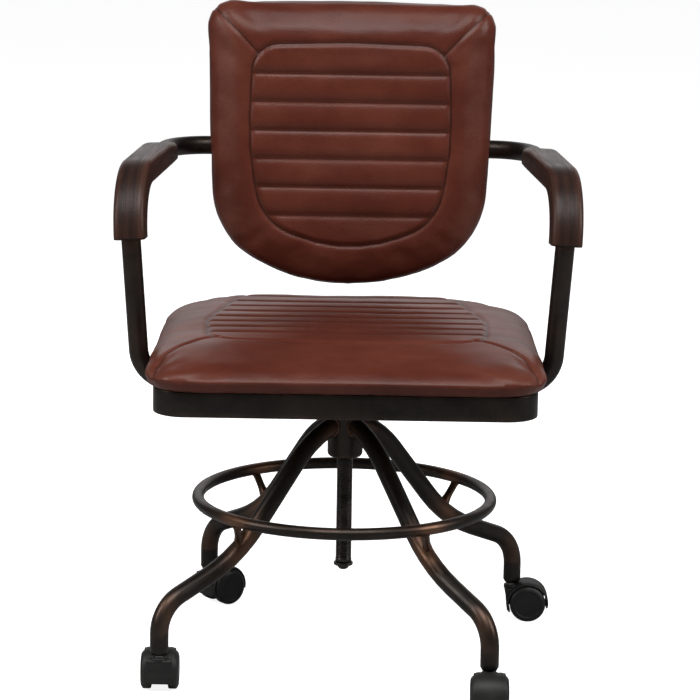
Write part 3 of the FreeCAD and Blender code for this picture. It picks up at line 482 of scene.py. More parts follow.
strut_reach = ring_radius - 0.021
below = leg_centre(strut_reach)
slope = (leg_centre(strut_reach + 0.004) - below).normalized()
strut_foot = below.z + tube / slope.x - 0.4 * tube
for name in legs:
    across = Matrix.Rotation(math.radians(leg_turn[name]), 3, "Z")
    foot = across @ Vector((strut_reach, 0, strut_foot))
    head = Vector((ring_radius, 0, ring_level - ring_bar + 0.002))
    head = Matrix.Rotation(math.radians(strut_turn[name]), 3, "Z") @ head
    route = even_steps([foot, head], 0.0012)
    length = (head - foot).length

    def strut_radius(step):
        """The bar, flared where the weld runs out on the leg and on the ring."""
        along = step / (len(route) - 1) * length
        low = 0.002 * bell(along, 0.009)
        high = 0.0014 * math.exp(-(length - along) / 0.0025)
        ripple = 0.00025 * math.sin(along * 2600) * math.exp(-along / 0.012)
        return 0.005 + low + high + ripple

    frames = frames_along(route, across @ Vector((0, 1, 0)))
    points, faces = sweep_mesh(frames, lambda step: circle_outline(strut_radius(step), 24))
    strut = build_mesh("welded_strut_" + name, points, faces, bronze)
    set_attribute(strut, "wear", [
        min(1.0, 0.25 + 0.9 * math.exp(-(point - foot).length / 0.012)
            + 0.5 * math.exp(-(point - head).length / 0.01)) for point in points
    ])
    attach(strut, "base")
    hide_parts("ring_strut_" + name)

# The legs' welds at the hub: a bead runs round each tube where it meets the boss. Geometry
# nodes lay a row of overlapping drops along that joint, one drop for each pulse of the torch.
bead_tree = bpy.data.node_groups.new("weld_bead", "GeometryNodeTree")
bead_tree.interface.new_socket("Joint", in_out="INPUT", socket_type="NodeSocketGeometry")
bead_tree.interface.new_socket("Drop Size", in_out="INPUT", socket_type="NodeSocketFloat")
bead_tree.interface.new_socket("Drop Spacing", in_out="INPUT", socket_type="NodeSocketFloat")
bead_tree.interface.new_socket("Bead", in_out="OUTPUT", socket_type="NodeSocketGeometry")
bead_in = add_node(bead_tree, "NodeGroupInput")
bead_out = add_node(bead_tree, "NodeGroupOutput")
bead_curve = add_node(bead_tree, "GeometryNodeMeshToCurve")
bead_even = add_node(bead_tree, "GeometryNodeResampleCurve", mode="LENGTH")
bead_drop = add_node(bead_tree, "GeometryNodeMeshIcoSphere", Subdivisions=2)
bead_size = add_node(bead_tree, "FunctionNodeRandomValue", data_type="FLOAT")
bead_size.inputs[2].default_value = 0.8
bead_size.inputs[3].default_value = 1.2
bead_size.inputs["Seed"].default_value = 4
bead_place = add_node(bead_tree, "GeometryNodeInstanceOnPoints")
bead_real = add_node(bead_tree, "GeometryNodeRealizeInstances")
bead_smooth = add_node(bead_tree, "GeometryNodeSetShadeSmooth")
bead_paint = add_node(bead_tree, "GeometryNodeSetMaterial")
bead_paint.inputs["Material"].default_value = weld_metal
link = bead_tree.links.new
link(bead_in.outputs["Joint"], bead_curve.inputs[0])
link(bead_curve.outputs[0], bead_even.inputs["Curve"])
link(bead_in.outputs["Drop Spacing"], bead_even.inputs["Length"])
link(bead_even.outputs[0], bead_place.inputs["Points"])
link(bead_in.outputs["Drop Size"], bead_drop.inputs["Radius"])
link(bead_drop.outputs[0], bead_place.inputs["Instance"])
link(bead_size.outputs[1], bead_place.inputs["Scale"])
link(bead_place.outputs[0], bead_real.inputs[0])
link(bead_real.outputs[0], bead_smooth.inputs[0])
link(bead_smooth.outputs[0], bead_paint.inputs[0])
link(bead_paint.outputs[0], bead_out.inputs[0])


def run_tree(name, source, group, material, **inputs):
    """Run a geometry tree on a mesh of points and edges, and keep the result as a plain piece."""
    source.modifiers.new("tree", "NODES").node_group = group
    for item in group.interface.items_tree:
        if item.in_out == "INPUT" and item.name.replace(" ", "_") in inputs:
            source.modifiers["tree"][item.identifier] = inputs[item.name.replace(" ", "_")]
    bpy.context.view_layer.update()
    depsgraph = bpy.context.evaluated_depsgraph_get()
    mesh = bpy.data.meshes.new_from_object(source.evaluated_get(depsgraph))
    mesh.name = name
    if not mesh.materials:
        mesh.materials.append(material)
    piece = bpy.data.objects.new(name, mesh)
    bpy.context.scene.collection.objects.link(piece)
    bpy.data.objects.remove(source)
    return piece


def line_mesh(name, loops):
    """A mesh of closed or open chains of edges, as the source of a geometry tree."""
    points, edges = [], []
    for chain, closed in loops:
        start = len(points)
        points += [tuple(point) for point in chain]
        edges += [(start + index, start + index + 1) for index in range(len(chain) - 1)]
        if closed:
            edges.append((len(points) - 1, start))
    mesh = bpy.data.meshes.new(name)
    mesh.from_pydata(points, edges, [])
    made = bpy.data.objects.new(name, mesh)
    bpy.context.scene.collection.objects.link(made)
    return made


joints = []
root_ahead = (Vector((0.057, 0, 0.3065)) - Vector((0.015, 0, 0.3219))).normalized()
root_up = Vector((-root_ahead.z, 0, root_ahead.x))
for name in legs:
    across = Matrix.Rotation(math.radians(leg_turn[name]), 3, "Z")
    chain = []
    for index in range(48):
        angle = 2 * math.pi * index / 48
        start = Vector((0.012, tube * math.cos(angle), 0.32295)) + root_up * tube * math.sin(angle)
        step = 0.0
        while math.hypot((start + root_ahead * step).x, start.y) < 0.0236:
            step += 0.0002
        chain.append(across @ (start + root_ahead * step))
    joints.append((chain, True))
bead = run_tree("leg_weld_beads", line_mesh("leg_joints", joints), bead_tree, weld_metal,
                Drop_Size=0.0019, Drop_Spacing=0.0017)
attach(bead, "base")

# The seat screw: a blackened bar with a right-hand thread of 2.5 millimetres lead, plain at the
# top where the seat's boss is pressed on, and with a pin below for the washer and end cap.
black_steel, tree, shader = new_material("blackened_steel", 0.34, 0.95)
oiled = noise_of(tree, 60, 5, 0.6)
feed(tree, shader, Base_Color=ramp_of(tree, oiled, (0.3, (0.03, 0.027, 0.025)), (0.72, (0.1, 0.09, 0.08))))
feed(tree, shader, Roughness=ramp_of(tree, oiled, (0.3, 0.26), (0.7, 0.42)))
bump_on(tree, shader, oiled, 0.12, 0.0002)

lead, crest, depth = 0.0025, 0.0108, 0.0012
screw_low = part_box("seat_screw")[0][2]
screw_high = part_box("seat_screw")[1][2]
shoulder = 0.1295
thread_low, thread_high = shoulder + 0.004, hub_high - 0.0015
rows = int((thread_high - thread_low) / lead * 8)
columns = 48
points = []
for row in range(rows + 1):
    height = thread_low + (thread_high - thread_low) * row / rows
    fade = min(1.0, (height - thread_low) / 0.003, (thread_high - height) / 0.003)
    for column in range(columns):
        angle = 2 * math.pi * column / columns
        phase = (height / lead - column / columns) % 1.0
        tooth = min(1.0, max(0.0, 2.3 * abs(phase - 0.5) - 0.08))
        radius = crest - depth * (1 - tooth) * fade
        points.append(Vector((radius * math.cos(angle), radius * math.sin(angle), height)))
faces = strips(rows + 1, columns)
turns = [2 * math.pi * column / columns for column in range(columns)]
below = [
    (crest, shoulder + 0.0008), (crest - 0.0008, shoulder), (0.006, shoulder), (0.006, screw_low),
    (0.0, screw_low),
]
above = [(crest, screw_high), (0.0, screw_high)]
for rings, rim in ((below, 0), (above, rows * columns)):
    for radius, height in rings:
        start = len(points)
        points += [Vector((radius * math.cos(turn), radius * math.sin(turn), height)) for turn in turns]
        for column in range(columns):
            after = (column + 1) % columns
            faces.append((rim + column, rim + after, start + after, start + column))
        rim = start
points, faces = recalculated(points, faces)
screw = build_mesh("threaded_screw", points, faces, black_steel)
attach(screw, "seat")
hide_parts("seat_screw")

washer_low, washer_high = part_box("stop_washer")[0][2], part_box("stop_washer")[1][2]
points, faces = turned_mesh(rounded_profile([
    (0.00605, washer_low, 0.0004), (0.013, washer_low, 0.0016),
    (0.013, washer_high, 0.0016), (0.00605, washer_high, 0.0004),
]), 72)
washer = build_mesh("loose_washer", points, faces, black_steel)
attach(washer, "washer")
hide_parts("stop_washer")

cap_low, cap_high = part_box("screw_end_cap")[0][2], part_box("screw_end_cap")[1][2]
cap_profile = [(0.0, cap_low)]
for index in range(1, 10):
    angle = math.radians(90 * index / 9)
    cap_profile.append((0.0075 * math.sin(angle), cap_low + 0.005 * (1 - math.cos(angle))))
cap_profile += [(0.0075, cap_high), (0.0, cap_high)]
points, faces = turned_mesh(cap_profile, 48)
cap = build_mesh("domed_end_cap", points, faces, black_steel)
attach(cap, "seat")
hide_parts("screw_end_cap")

# The casters are moulded in black plastic: a hood that covers twin wheels, with a raised band
# over the top, a block and collar below the stem, and a short skirt in front.
black_plastic, tree, shader = new_material("moulded_plastic", 0.46)
shader.inputs["Specular IOR Level"].default_value = 0.3
flow = noise_of(tree, 30, 4, 0.6)
dust = noise_of(tree, 9, 3, 0.5)
plastic = ramp_of(tree, flow, (0.3, (0.011, 0.0105, 0.01)), (0.75, (0.021, 0.02, 0.019)))
plastic = mix_of(tree, ramp_of(tree, dust, (0.55, 0.0), (0.85, 0.3)), plastic, (0.05, 0.046, 0.041))
feed(tree, shader, Base_Color=plastic)
feed(tree, shader, Roughness=ramp_of(tree, flow, (0.3, 0.4), (0.7, 0.56)))
bump_on(tree, shader, noise_of(tree, 900, 2, 0.5), 0.12, 0.0001)

wheel_plastic, tree, shader = new_material("wheel_plastic", 0.4)
shader.inputs["Specular IOR Level"].default_value = 0.3
worn = noise_of(tree, 45, 5, 0.65)
plastic = ramp_of(tree, worn, (0.35, (0.009, 0.0088, 0.0086)), (0.7, (0.016, 0.0155, 0.015)))
rolled = math_of(tree, "MULTIPLY", attribute_of(tree, "tread"), ramp_of(tree, worn, (0.3, 0.3), (0.6, 1.0)))
feed(tree, shader, Base_Color=mix_of(tree, rolled, plastic, (0.045, 0.042, 0.039)))
feed(tree, shader, Roughness=ramp_of(tree, worn, (0.3, 0.34), (0.7, 0.5)))
bump_on(tree, shader, worn, 0.12, 0.0002)

caster_turn = {"rear_right": 0.0, "rear_left": 40.0, "front_left": 90.0, "front_right": 270.0}
trail, wheel_radius = 0.022, 0.025
hood_inner, hood_outer = 0.0264, 0.0286
hood_top = 0.046


def shell_outline(step):
    """The hood's section across the wheels, raised in the middle, as (across, outward)."""
    half, band = 0.0205, 0.017
    top = 0.0008
    corners = [
        (-half, 0, 0.0004), (half, 0, 0.0004), (half, hood_outer - hood_inner, 0.0012),
        (band, hood_outer - hood_inner, 0.0004), (band, hood_outer - hood_inner + top, 0.0005),
        (-band, hood_outer - hood_inner + top, 0.0005), (-band, hood_outer - hood_inner, 0.0004),
        (-half, hood_outer - hood_inner, 0.0012),
    ]
    return rounded_profile(corners, 30)


def block_mesh(side_corners, half, edge):
    """A moulded block: a side outline of (x, z, rounding) with its edges across rounded too."""
    outline = rounded_profile(side_corners, 12)
    middle_x = sum(x for x, z in outline) / len(outline)
    middle_z = sum(z for x, z in outline) / len(outline)
    rows = [(-half, edge), (-half + edge * 0.3, edge * 0.3), (-half + edge, 0.0)]
    rows += [(-across, inset) for across, inset in reversed(rows)]
    points = []
    for across, inset in rows:
        for x, z in outline:
            away = Vector((x - middle_x, 0, z - middle_z))
            away = away * (1 - inset / max(away.length, 1e-6))
            points.append(Vector((middle_x + away.x, across, middle_z + away.z)))
    return points, strips(len(rows), len(outline)) + end_faces(len(rows), len(outline))


def join_shapes(shapes):
    """Several lists of points and faces as one."""
    points, faces = [], []
    for more_points, more_faces in shapes:
        start = len(points)
        points += more_points
        faces += [tuple(start + index for index in face) for face in more_faces]
    return points, faces


hood_shapes = []
arc_frames = []
for index in range(73):
    angle = math.radians(205 - 217 * index / 72)
    outward = Vector((math.cos(angle), 0, math.sin(angle)))
    centre = Vector((trail, 0, wheel_radius)) + outward * hood_inner
    arc_frames.append((centre, Vector((0, 1, 0)), outward))
hood_shapes.append(sweep_mesh(arc_frames, shell_outline))
hood_shapes.append(block_mesh([
    (-0.011, hood_top, 0.002), (0.0045, hood_top, 0.001), (0.006, 0.0455, 0.001), (-0.0035, 0.031, 0.002),
    (-0.0052, 0.0145, 0.001), (-0.0066, 0.0145, 0.001), (-0.0068, 0.0265, 0.012),
], 0.017, 0.0012))
collar_top = hood_top + 0.003
hood_shapes.append(turned_mesh([
    (0.0056, hood_top - 0.002), (0.0112, hood_top - 0.002), (0.0112, collar_top - 0.0012),
    (0.0104, collar_top - 0.0003), (0.009, collar_top), (0.0066, collar_top), (0.0056, collar_top),
], 48))
hood_middle = (hood_inner + hood_outer) / 2
web_corners = []
for degrees in (186, 165, 140, 115, 90):
    turn = math.radians(degrees)
    across, up = hood_middle * math.cos(turn), hood_middle * math.sin(turn)
    web_corners.append((trail + across, wheel_radius + up, 0.0002))
web_corners.append((trail + 0.009, wheel_radius, 0.0002))
web_corners += [(trail + 0.009, 0.016, 0.006), (trail - 0.009, 0.016, 0.006)]
web_points, web_faces = block_mesh(web_corners, 0.01, 0.0006)
hood_shapes.append((web_points, [tuple(reversed(face)) for face in web_faces]))
hood_points, hood_faces = join_shapes(hood_shapes)

wheel_half = [
    (0.00305, 0.011), (0.0225, 0.011), (0.0241, 0.0114), (0.0249, 0.0126), (0.025, 0.0135), (0.025, 0.0205),
    (0.0249, 0.0213), (0.0245, 0.022), (0.0238, 0.0226), (0.0224, 0.0236), (0.0214, 0.0242), (0.0203, 0.0246),
    (0.0195, 0.02475), (0.0187, 0.0247), (0.0183, 0.0244), (0.018, 0.024), (0.0174, 0.02395), (0.008, 0.0241),
    (0.0, 0.0241), (0.0, 0.0196), (0.00305, 0.0196),
]


hood_points, hood_faces = recalculated(hood_points, hood_faces)
flat_points, flat_faces = recalculated(*turned_mesh(wheel_half, 72))
for name in legs:
    angle = math.radians(leg_turn[name])
    stem = Vector((foot_reach * math.cos(angle), foot_reach * math.sin(angle), 0))
    spin = Matrix.Rotation(math.radians(caster_turn[name]), 3, "Z")
    points = [stem + spin @ point for point in hood_points]
    hood = build_mesh("caster_cover_" + name, points, hood_faces, black_plastic)
    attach(hood, "caster_" + name)
    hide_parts("caster_hood_" + name)
    for side, sign in (("a", -1), ("b", 1)):
        points = []
        for point in flat_points:
            local = Vector((trail + point.x, sign * point.z, wheel_radius + point.y * -sign))
            points.append(stem + spin @ local)
        wheel = build_mesh(f"caster_wheel_{name}_{side}", points, flat_faces, wheel_plastic)
        tread = []
        for point in flat_points:
            rolling = math.exp(-((point.z - 0.0168) / 0.0042) ** 4) * (point.xy.length > 0.0245)
            tread.append(0.85 * rolling)
        set_attribute(wheel, "tread", tread)
        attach(wheel, f"wheel_{name}_{side}")
        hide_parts(f"wheel_{name}_{side}")

zinc, tree, shader = new_material("zinc_plate", 0.32, 1.0)
plated = noise_of(tree, 120, 3, 0.6)
feed(tree, shader, Base_Color=ramp_of(tree, plated, (0.3, (0.2, 0.2, 0.205)), (0.7, (0.33, 0.33, 0.34))))
bump_on(tree, shader, plated, 0.08, 0.0001)
finish_node(zinc, *["caster_stem_" + name for name in legs], *["caster_axle_" + name for name in legs])
finish_node(black_plastic, *["caster_socket_" + name for name in legs])

# The seat is carried by a plate on the screw, two box rails and a steel band bent round a
# plywood board. All the steel has the frame's dark finish, and four hex bolts hold the board.
finish_node(bronze, "mounting_plate", "cross_rail_front", "cross_rail_rear")
plywood, tree, shader = new_material("sanded_plywood", 0.62)
plies = noise_of(tree, 12, 5, 0.6, (9, 1.2, 30))
feed(tree, shader, Base_Color=ramp_of(
    tree, plies, (0.3, (0.22, 0.13, 0.065)), (0.5, (0.36, 0.23, 0.12)), (0.7, (0.47, 0.32, 0.18))
))
bump_on(tree, shader, plies, 0.2, 0.0003)
finish_node(plywood, "seat_board", "back_board")

seat_low, seat_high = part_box("seat_frame")[0][2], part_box("seat_frame")[1][2]
half_seat, seat_front, seat_rear = 0.246, -0.23, 0.22
wall = 0.0025


def level_outline(corners, level, turn=4.0, spacing=0.02):
    """A closed level line through rounded corners of (x, y, rounding)."""
    route = rounded_route([(x, y, level) for x, y, r in corners], [r for x, y, r in corners], turn, True)
    return even_steps(route, spacing, True)


band_corners = [
    (half_seat, seat_rear, 0.125), (-half_seat, seat_rear, 0.125),
    (-half_seat, seat_front, 0.042), (half_seat, seat_front, 0.042),
]
outline = level_outline(band_corners, 0)
count = len(outline)
points = []
band_rows = [
    (wall, seat_low + 0.0005), (wall * 0.7, seat_low), (0.0012, seat_low), (0.0003, seat_low + 0.0005),
    (0, seat_low + 0.0016), (0, seat_low + 0.008), (0, seat_high - 0.008), (0, seat_high - 0.0016),
    (0.0003, seat_high - 0.0004), (0.0012, seat_high), (wall * 0.7, seat_high), (wall, seat_high - 0.0005),
]
for inset, level in band_rows:
    for index, point in enumerate(outline):
        ahead = (outline[(index + 1) % count] - outline[index - 1]).normalized()
        inward = Vector((-ahead.y, ahead.x, 0))
        points.append(Vector((point.x, point.y, level)) + inward * inset)
points, faces = recalculated(points, strips(len(band_rows), count, True))
band = build_mesh("bent_seat_band", points, faces, bronze)
set_attribute(band, "wear", [
    (0.3 * math.exp(-abs(point.z - seat_high) / 0.002) + 0.22 * math.exp(-abs(point.z - seat_low) / 0.002))
    * (0.4 + noise.noise(point * 22)) for point in points
])
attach(band, "seat")
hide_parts("seat_frame")

bolt_spots = [(0.07 * x, 0.08 * y) for x in (-1, 1) for y in (-1, 1)]
plate_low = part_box("mounting_plate")[1][2] - 0.006
bolt_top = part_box("plate_bolts")[1][2]
bolt_tree = bpy.data.node_groups.new("hex_bolts", "GeometryNodeTree")
bolt_tree.interface.new_socket("Spots", in_out="INPUT", socket_type="NodeSocketGeometry")
for label in ("Head Size", "Head Height", "Shank Size", "Shank Length"):
    bolt_tree.interface.new_socket(label, in_out="INPUT", socket_type="NodeSocketFloat")
bolt_tree.interface.new_socket("Bolts", in_out="OUTPUT", socket_type="NodeSocketGeometry")
bolt_in = add_node(bolt_tree, "NodeGroupInput")
bolt_out = add_node(bolt_tree, "NodeGroupOutput")
link = bolt_tree.links.new


def placed_cylinder(tree, sides, radius, depth, low, taper=1.0):
    """A cone or prism that stands on the height low."""
    shape = add_node(tree, "GeometryNodeMeshCone", Vertices=sides)
    tree.links.new(radius, shape.inputs["Radius Bottom"])
    tree.links.new(math_of(tree, "MULTIPLY", radius, taper), shape.inputs["Radius Top"])
    tree.links.new(depth, shape.inputs["Depth"])
    lift = add_node(tree, "ShaderNodeCombineXYZ")
    if hasattr(low, "is_linked"):
        tree.links.new(low, lift.inputs["Z"])
    else:
        lift.inputs["Z"].default_value = low
    moved = add_node(tree, "GeometryNodeTransform")
    tree.links.new(shape.outputs["Mesh"], moved.inputs["Geometry"])
    tree.links.new(lift.outputs[0], moved.inputs["Translation"])
    return moved.outputs[0]


head_size, head_height = bolt_in.outputs["Head Size"], bolt_in.outputs["Head Height"]
down_head = math_of(bolt_tree, "MULTIPLY", head_height, -1.0)
bolt_join = add_node(bolt_tree, "GeometryNodeJoinGeometry")
link(placed_cylinder(bolt_tree, 6, head_size, head_height, down_head), bolt_join.inputs[0])
washer_height = math_of(bolt_tree, "MULTIPLY", head_height, 0.14)
link(placed_cylinder(bolt_tree, 28, math_of(bolt_tree, "MULTIPLY", head_size, 1.18), washer_height,
                     math_of(bolt_tree, "MULTIPLY", washer_height, -1.0)), bolt_join.inputs[0])
dome_height = math_of(bolt_tree, "MULTIPLY", head_height, 0.12)
dome = placed_cylinder(bolt_tree, 28, math_of(bolt_tree, "MULTIPLY", head_size, 0.62), dome_height,
                       math_of(bolt_tree, "MULTIPLY", head_height, -1.12), 1.3)
link(dome, bolt_join.inputs[0])
link(placed_cylinder(bolt_tree, 20, bolt_in.outputs["Shank Size"], bolt_in.outputs["Shank Length"], 0.0),
     bolt_join.inputs[0])
bolt_points = add_node(bolt_tree, "GeometryNodeMeshToPoints")
bolt_place = add_node(bolt_tree, "GeometryNodeInstanceOnPoints")
bolt_real = add_node(bolt_tree, "GeometryNodeRealizeInstances")
bolt_paint = add_node(bolt_tree, "GeometryNodeSetMaterial")
bolt_paint.inputs["Material"].default_value = black_steel
link(bolt_in.outputs["Spots"], bolt_points.inputs[0])
link(bolt_points.outputs[0], bolt_place.inputs["Points"])
link(bolt_join.outputs[0], bolt_place.inputs["Instance"])
link(bolt_place.outputs[0], bolt_real.inputs[0])
link(bolt_real.outputs[0], bolt_paint.inputs[0])
link(bolt_paint.outputs[0], bolt_out.inputs[0])
spots = [([Vector((x, y, plate_low))], False) for x, y in bolt_spots]
bolts = run_tree("plate_hex_bolts", line_mesh("bolt_spots", spots), bolt_tree, black_steel,
                 Head_Size=0.007, Head_Height=0.005, Shank_Size=0.004, Shank_Length=bolt_top - plate_low)
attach(bolts, "seat")
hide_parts("plate_bolts")

# The seat cushion is foam under waxed brown leather. It is swollen with a cloth simulation, and
# the sewn panel with its cross channels and the seams to the corners are pressed in after that.
def line_of(tree, distance, width):
    """A soft line where a signed distance passes zero, with its edges at the width."""
    away = math_of(tree, "DIVIDE", math_of(tree, "ABSOLUTE", distance), width)
    return math_of(tree, "MAXIMUM", math_of(tree, "SUBTRACT", 1.0, away), 0.0)


leather, tree, shader = new_material("waxed_leather", 0.34)
shader.inputs["Specular IOR Level"].default_value = 0.2
mottle = noise_of(tree, 7, 6, 0.62)
streak = noise_of(tree, 10, 4, 0.6, (0.7, 2.6, 2.6))
pores = noise_of(tree, 420, 3, 0.6)
tone = ramp_of(tree, mottle, (0.28, (0.06, 0.0128, 0.0073)), (0.5, (0.088, 0.0195, 0.0112)),
               (0.74, (0.124, 0.032, 0.019)))
tone = mix_of(tree, ramp_of(tree, streak, (0.5, 0.0), (0.78, 0.4)), tone, (0.145, 0.044, 0.028))
panel_edge = attribute_of(tree, "panel_edge")
on_panel = math_of(tree, "LESS_THAN", panel_edge, 0.0)
off_panel = math_of(tree, "SUBTRACT", 1.0, on_panel)
rib = attribute_of(tree, "rib")
from_rib = math_of(tree, "SUBTRACT", rib, math_of(tree, "ROUND", rib))
rib_line = math_of(tree, "MULTIPLY", line_of(tree, from_rib, 0.055), on_panel)
corner_line = math_of(tree, "MULTIPLY", line_of(tree, attribute_of(tree, "corner_seam"), 0.0021), off_panel)
seam = math_of(tree, "MAXIMUM", line_of(tree, panel_edge, 0.0023), corner_line)
seam = math_of(tree, "MAXIMUM", seam, math_of(tree, "MULTIPLY", rib_line, 0.75))
tone = mix_of(tree, math_of(tree, "MULTIPLY", seam, 0.85), tone, (0.02, 0.0065, 0.0045))
# Painted shade: on the panel, the lower part of each rib, just above its channel, is darkened.
painted_rib_shade = ramp_of(tree, math_of(tree, "ADD", from_rib, 0.5), (0.12, 0.0), (0.46, 0.5), (0.5, 0.0))
tone = mix_of(tree, math_of(tree, "MULTIPLY", painted_rib_shade, on_panel), tone, (0.045, 0.013, 0.0085))
# Painted sheen and wear: this lighter tone is a painted highlight on the seat's front roll and sides and on
# the back's side bolsters, and random wear on the rear panel.
sheen_and_wear = math_of(tree, "MULTIPLY", attribute_of(tree, "sheen_and_wear"), ramp_of(tree, mottle, (0.35, 0.2), (0.65, 1.0)))
tone = mix_of(tree, sheen_and_wear, tone, (0.19, 0.078, 0.054))
feed(tree, shader, Base_Color=tone)
feed(tree, shader, Roughness=ramp_of(tree, streak, (0.3, 0.27), (0.7, 0.4)))
cells = add_node(tree, "ShaderNodeTexVoronoi", Scale=620.0, feature="F1")
coords = add_node(tree, "ShaderNodeTexCoord")
tree.links.new(coords.outputs["Object"], cells.inputs["Vector"])
grain = math_of(tree, "MULTIPLY", cells.outputs["Distance"], 0.7)
grain = math_of(tree, "ADD", grain, math_of(tree, "MULTIPLY", pores, 0.5))
grain = math_of(tree, "ADD", grain, math_of(tree, "MULTIPLY", noise_of(tree, 34, 3, 0.5), 1.4))
bump_on(tree, shader, grain, 0.3, 0.0006)


def rows_mesh(rows):
    """Points and faces of a closed shell through level loops of equal length."""
    size = len(rows[0])
    points = [point for row in rows for point in row]
    faces = strips(len(rows), size)
    for row, flip in ((0, True), (len(rows) - 1, False)):
        centre = len(points)
        points.append(sum(rows[row], Vector()) / size)
        for index in range(size):
            pair = (row * size + index, row * size + (index + 1) % size)
            faces.append((*(reversed(pair) if flip else pair), centre))
    return points, faces


def baked(piece):
    """The piece with its modifiers applied."""
    bpy.context.view_layer.update()
    depsgraph = bpy.context.evaluated_depsgraph_get()
    mesh = bpy.data.meshes.new_from_object(piece.evaluated_get(depsgraph))
    piece.modifiers.clear()
    piece.data = mesh
    return piece


def stuffed(name, rows, low, cap, material):
    """A shell filled by air pressure, held where it lies flat at low, and made smooth."""
    points, faces = rows_mesh(rows)
    pad = build_mesh(name, points, faces, material)
    cells = pad.modifiers.new("cells", "REMESH")
    cells.mode = "VOXEL"
    cells.voxel_size = 0.0048
    even = pad.modifiers.new("even", "SMOOTH")
    even.iterations = 6
    baked(pad)
    start = [vert.co.copy() for vert in pad.data.vertices]
    held = pad.vertex_groups.new(name="held")
    for index, point in enumerate(start):
        if point.z < low + 0.0035:
            held.add([index], 1.0, "REPLACE")
    swell = pad.modifiers.new("swell", "CLOTH")
    swell.settings.quality = 4
    swell.settings.mass = 0.4
    swell.settings.use_pressure = True
    swell.settings.uniform_pressure_force = 4.0
    swell.settings.effector_weights.gravity = 0.0
    swell.settings.vertex_group_mass = "held"
    for moment in range(1, 21):
        bpy.context.scene.frame_set(moment)
    baked(pad)
    bpy.context.scene.frame_set(1)
    for vert, before in zip(pad.data.vertices, start):
        moved = vert.co - before
        if moved.length > cap:
            vert.co = before + moved * (cap / moved.length)
    calm = pad.modifiers.new("calm", "SMOOTH")
    calm.iterations = 10
    baked(pad)
    finer = pad.modifiers.new("finer", "SUBSURF")
    finer.levels = 1
    finer.render_levels = 1
    baked(pad)
    pad.data.polygons.foreach_set("use_smooth", [True] * len(pad.data.polygons))
    return pad


def fit_box(pad, low, high):
    """Stretch a pad's points so that its box runs from low to high."""
    points = [vert.co for vert in pad.data.vertices]
    for axis in range(3):
        least = min(point[axis] for point in points)
        most = max(point[axis] for point in points)
        for point in points:
            share = (point[axis] - least) / (most - least)
            point[axis] = low[axis] + share * (high[axis] - low[axis])
    pad.data.update()


def to_chain(point, chain):
    """Distance in plan from a point to a chain of points."""
    best = 9.0
    for (ax, ay), (bx, by) in zip(chain, chain[1:]):
        dx, dy = bx - ax, by - ay
        share = ((point[0] - ax) * dx + (point[1] - ay) * dy) / (dx * dx + dy * dy)
        share = min(1.0, max(0.0, share))
        best = min(best, math.hypot(point[0] - ax - dx * share, point[1] - ay - dy * share))
    return best


def inside(point, chain):
    """Whether a point lies inside a closed chain."""
    hit = False
    for (ax, ay), (bx, by) in zip(chain, chain[1:]):
        if (ay > point[1]) != (by > point[1]):
            if point[0] < ax + (point[1] - ay) * (bx - ax) / (by - ay):
                hit = not hit
    return hit


def side_of(point, chain):
    """1 or -1 for the side of an open chain that a point lies on."""
    nearest = min(range(len(chain) - 1), key=lambda index: to_chain(point, chain[index:index + 2]))
    (ax, ay), (bx, by) = chain[nearest], chain[nearest + 1]
    return 1 if (bx - ax) * (point[1] - ay) > (by - ay) * (point[0] - ax) else -1


def equal_row(route, count):
    """A closed route as this many points, equally far apart."""
    ends = list(zip(route, route[1:] + route[:1]))
    total = sum((b - a).length for a, b in ends)
    row, walked, target = [], 0.0, 0.0
    for a, b in ends:
        run = (b - a).length
        while target <= walked + run and len(row) < count and run > 0:
            row.append(a.lerp(b, (target - walked) / run))
            target += total / count
        walked += run
    return row


def sew(pad, panel, seams, ribs, middle, depths, area, at_corner, folds, low):
    """Press seams and channels into a pad, and note how far each point lies from them."""
    rib_start, rib_pitch, rib_count = ribs
    panel_depth, rib_depth, rib_width, corner_depth = depths
    broad, broad_depth, fine = folds
    normals = [vert.normal.copy() for vert in pad.data.vertices]
    marks = {"panel_edge": [], "corner_seam": [], "rib": []}
    moves = []
    for vert, normal in zip(pad.data.vertices, normals):
        x, y, z = vert.co
        sink, panel_gap, corner_gap = 0.0, 0.05, 0.05
        rib = min(rib_count - 0.55, max(-0.45, (rib_start - y) / rib_pitch))
        if normal.z > 0.2 and abs(x) < area[0] and area[1] < y < area[2]:
            edge = to_chain((x, y), panel)
            panel_gap = -edge if inside((x, y), panel) else edge
            sink += panel_depth * bell(edge, 0.0036)
            if panel_gap < 0:
                near = abs(rib - round(rib)) * rib_pitch
                fade = min(1.0, edge / 0.006) * (middle + (1 - middle) * min(1.0, abs(x) / 0.13))
                sink += fade * (rib_depth * math.exp(-near / rib_width) - 0.001)
        if at_corner(x, y, normal):
            chain = seams[x > 0]
            away = to_chain((x, y), chain)
            corner_gap = away * side_of((x, y), chain)
            sink += corner_depth * bell(away, 0.0034)
        fold = noise.noise(Vector((x * broad[0], y * broad[1], z * broad[2]))) * broad_depth
        fold += noise.noise(Vector((x * fine[0], y * fine[1], z * fine[2]))) * 0.0004
        moves.append(fold * min(1.0, (z - low) / 0.01) - sink)
        marks["panel_edge"].append(panel_gap)
        marks["corner_seam"].append(corner_gap)
        marks["rib"].append(rib)
    for name, values in marks.items():
        set_attribute(pad, name, values)
    return normals, moves


